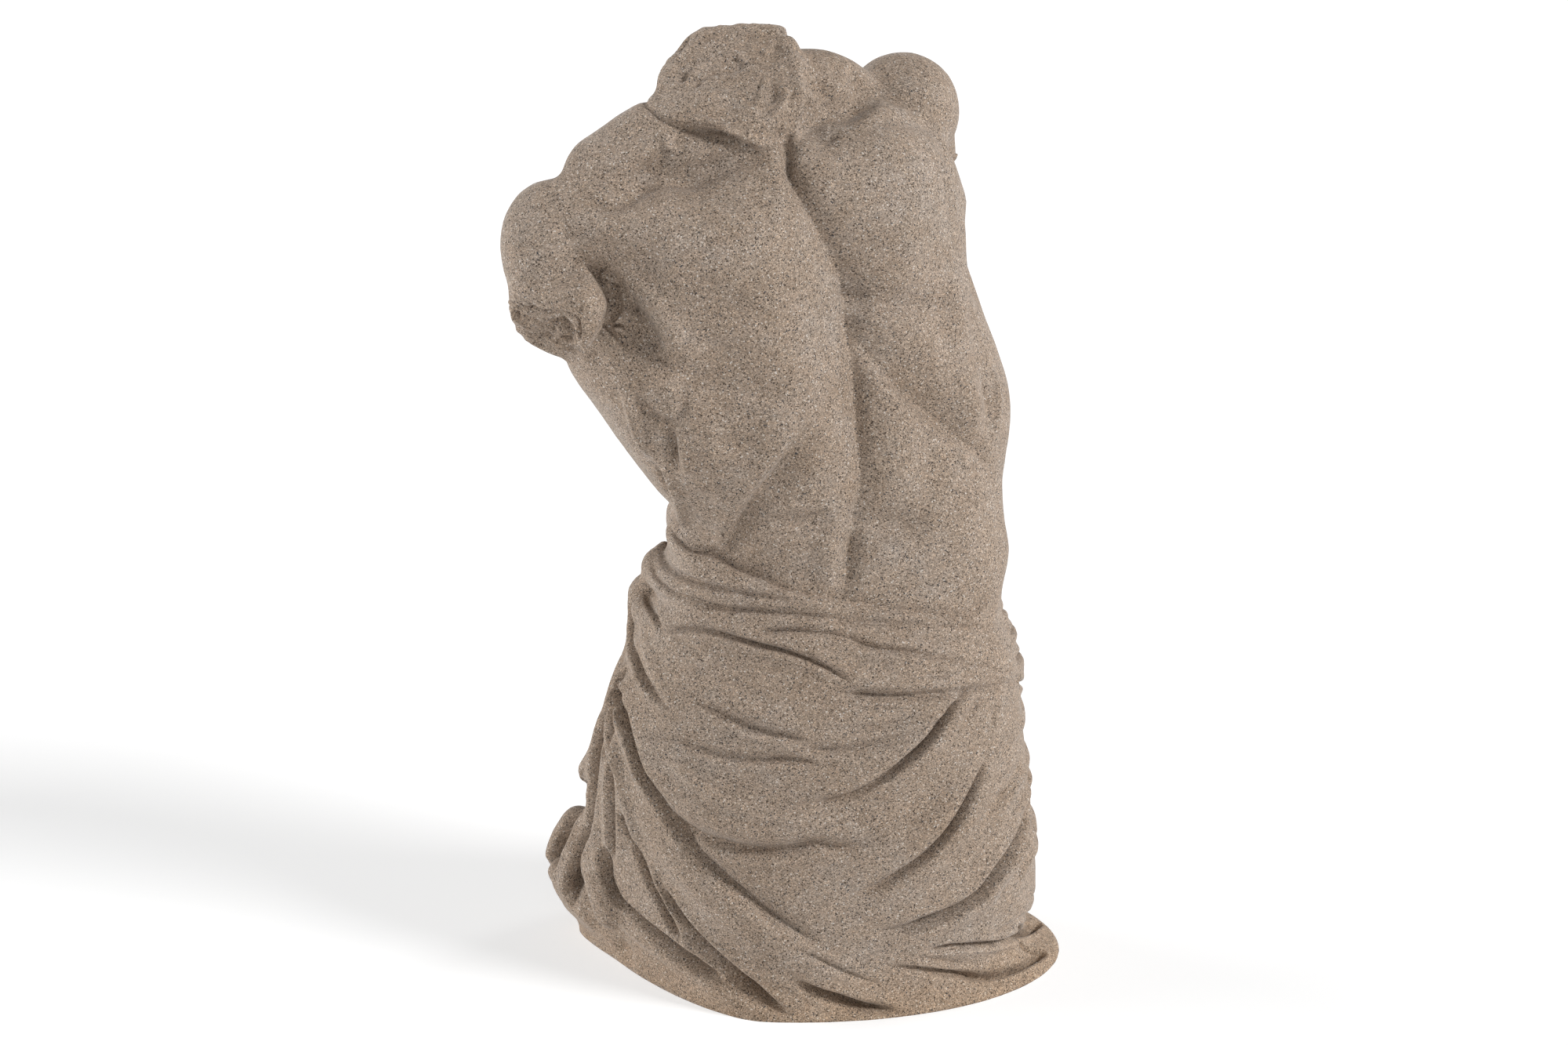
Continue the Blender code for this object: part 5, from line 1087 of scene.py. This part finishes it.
# sand sizes are grains per metre, and levels are heights above the floor in metres
SAND = 1700.0
SPECKS = 1350.0
DUST_LEVEL = 0.16
BINDER = ((0.34, (0.242, 0.185, 0.139)), (0.5, (0.267, 0.211, 0.165)), (0.66, (0.278, 0.230, 0.190)))
SAND_TONES = (
    (0.0, (0.28, 0.27, 0.26)), (0.16, (0.71, 0.70, 0.69)), (0.5, (1.0, 1.0, 1.0)),
    (0.86, (1.22, 1.22, 1.22)), (1.0, (1.95, 1.95, 1.95)),
)
WARM_SAND = (1.05, 0.99, 0.93)
DARK_SPECKS = ((0.052, 0.050, 0.052), (0.060, 0.043, 0.032))
PALE_SPECKS = ((0.50, 0.45, 0.40), (0.40, 0.33, 0.27))
BROWN_FOOT = (1.10, 0.97, 0.80)
DUST = (1.10, 1.12, 1.15)


def sanded_stone():
    """Fine sand of many tones in a warm grey binder."""
    g = Graph("sand cast")
    wide = g.node("ShaderNodeTexNoise", {}, Vector=g.place, Scale=11.0, Detail=3.0, Roughness=0.6)
    patches = g.node("ShaderNodeTexNoise", {}, Vector=g.place, Scale=70.0, Detail=3.0, Roughness=0.6)
    grain = g.node("ShaderNodeTexVoronoi", {}, out="Color", Vector=g.place, Scale=SAND)
    tone = g.node("ShaderNodeSeparateColor", {}, grain, out=0)
    tint = g.node("ShaderNodeSeparateColor", {}, grain, out=1)
    specks = g.node("ShaderNodeTexVoronoi", {}, out="Color", Vector=g.place, Scale=SPECKS)
    speck = g.node("ShaderNodeSeparateColor", {}, specks, out=0)
    kind = g.node("ShaderNodeSeparateColor", {}, specks, out=1)
    ground = g.node("ShaderNodeValToRGB", {"stops": BINDER}, wide * 0.5 + patches * 0.5)
    sand = g.node("ShaderNodeValToRGB", {"stops": SAND_TONES}, tone)
    colour = g.blend(1.0, ground, sand, "MULTIPLY")
    colour = g.blend(tint > 0.7, colour, g.blend(1.0, colour, WARM_SAND, "MULTIPLY"))
    colour = g.blend(speck < 0.06, colour, g.blend(kind > 0.3, *DARK_SPECKS))
    colour = g.blend(speck > 0.965, colour, g.blend(kind > 0.5, *PALE_SPECKS))
    # a browner foot, which fades out at 38 mm
    level = g.node("ShaderNodeSeparateXYZ", {}, g.place, out=2)
    foot = g.node("ShaderNodeMath", {"operation": "SUBTRACT", "use_clamp": True}, 1.0, level * 26.0)
    colour = g.blend(foot * wide * 1.1, colour, g.blend(1.0, colour, BROWN_FOOT, "MULTIPLY"))
    # pale dust: in the drifts below its level, and between the drifts above it
    clouds = g.node("ShaderNodeTexNoise", {}, Vector=g.place, Scale=38.0, Detail=4.0, Roughness=0.65)
    drift, below = (clouds - 0.55) * 6.0, (DUST_LEVEL - level) * 7.0
    dusty = g.node("ShaderNodeMath", {"operation": "MULTIPLY", "use_clamp": True}, drift, below)
    colour = g.blend(dusty * 0.5, colour, g.blend(1.0, colour, DUST, "MULTIPLY"))
    g.feed(g.surface.inputs["Base Color"], colour)
    g.surface.inputs["Roughness"].default_value = 0.88
    g.surface.inputs["Specular IOR Level"].default_value = 0.28
    g.surface.inputs["Sheen Weight"].default_value = 0.15
    g.surface.inputs["Sheen Roughness"].default_value = 0.3
    rounding = g.node("ShaderNodeTexVoronoi", {}, out="Distance", Vector=g.place, Scale=SPECKS)
    pores = g.node("ShaderNodeTexNoise", {}, Vector=g.place, Scale=520.0, Detail=2.0, Roughness=0.7)
    waves = g.node("ShaderNodeTexNoise", {}, Vector=g.place, Scale=120.0, Detail=2.0)
    height = 1.0 - rounding * 0.4 + pores * 0.5 + waves * 0.5
    bump = g.node("ShaderNodeBump", {}, Strength=0.3, Distance=0.0009, Height=height)
    g.feed(g.surface.inputs["Normal"], bump)
    return g.material


bpy.ops.object.select_all(action="DESELECT")
torso = fused("torso_cast", masses())
carve(torso, CARVING)
facet(torso, MOST_TRIANGLES)
torso.data.transform(Matrix.Translation(-MIDDLE))
torso.data.materials.append(sanded_stone())
torso.data.shade_smooth()
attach(torso, "root")
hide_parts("torso")

# floor, light and camera
bpy.ops.object.select_all(action="DESELECT")
bpy.ops.mesh.primitive_plane_add(size=12, location=(0, 0, 0))
floor = bpy.context.object
floor.name = "floor"
paint = bpy.data.materials.new("pale floor")
paint.use_nodes = True
pale = paint.node_tree.nodes["Principled BSDF"].inputs
pale["Base Color"].default_value = (0.55, 0.55, 0.55, 1)
pale["Roughness"].default_value = 0.9
pale["Emission Color"].default_value = (1, 1, 1, 1)
pale["Emission Strength"].default_value = 0.5
floor.data.materials.append(paint)

world = bpy.data.worlds.new("studio")
bpy.context.scene.world = world
world.use_nodes = True
world.node_tree.nodes["Background"].inputs["Color"].default_value = (1, 1, 1, 1)
world.node_tree.nodes["Background"].inputs["Strength"].default_value = 0.15

# each light: where it comes from, its spread in degrees and its strength
LIGHTS = {
    "key": ((0.91, -0.42, 0.68), 18, 2.9),
    "fill": ((-1.0, 0.16, 0.26), 50, 3.3),
    "front": ((0.0, -1.0, 0.4), 40, 0.5),
    "rim": ((0.84, 0.62, 0.30), 22, 1.1),
}
for name, (source, spread, power) in LIGHTS.items():
    light = bpy.data.lights.new(name, "SUN")
    light.angle, light.energy = radians(spread), power
    lamp = bpy.data.objects.new(name, light)
    lamp.rotation_mode = "QUATERNION"
    lamp.rotation_quaternion = (-Vector(source)).to_track_quat("-Z", "Y")
    bpy.context.scene.collection.objects.link(lamp)

SENSOR = 36
camera = bpy.data.cameras.new("camera")
camera.sensor_width, camera.lens = SENSOR, FOCAL_PIXELS * SENSOR / PICTURE_SIZE[0]
camera.shift_y = (PICTURE_SIZE[1] / 2 - PICTURE_CENTRE[1]) / PICTURE_SIZE[0]
camera.clip_end = 50
view = bpy.data.objects.new("camera", camera)
view.location = EYE - MIDDLE
view.rotation_mode = "QUATERNION"
view.rotation_quaternion = FORWARD.to_track_quat("-Z", "Y")
bpy.context.scene.collection.objects.link(view)
bpy.context.scene.camera = view
bpy.context.scene.view_settings.view_transform = "Standard"

bpy.context.view_layer.update()
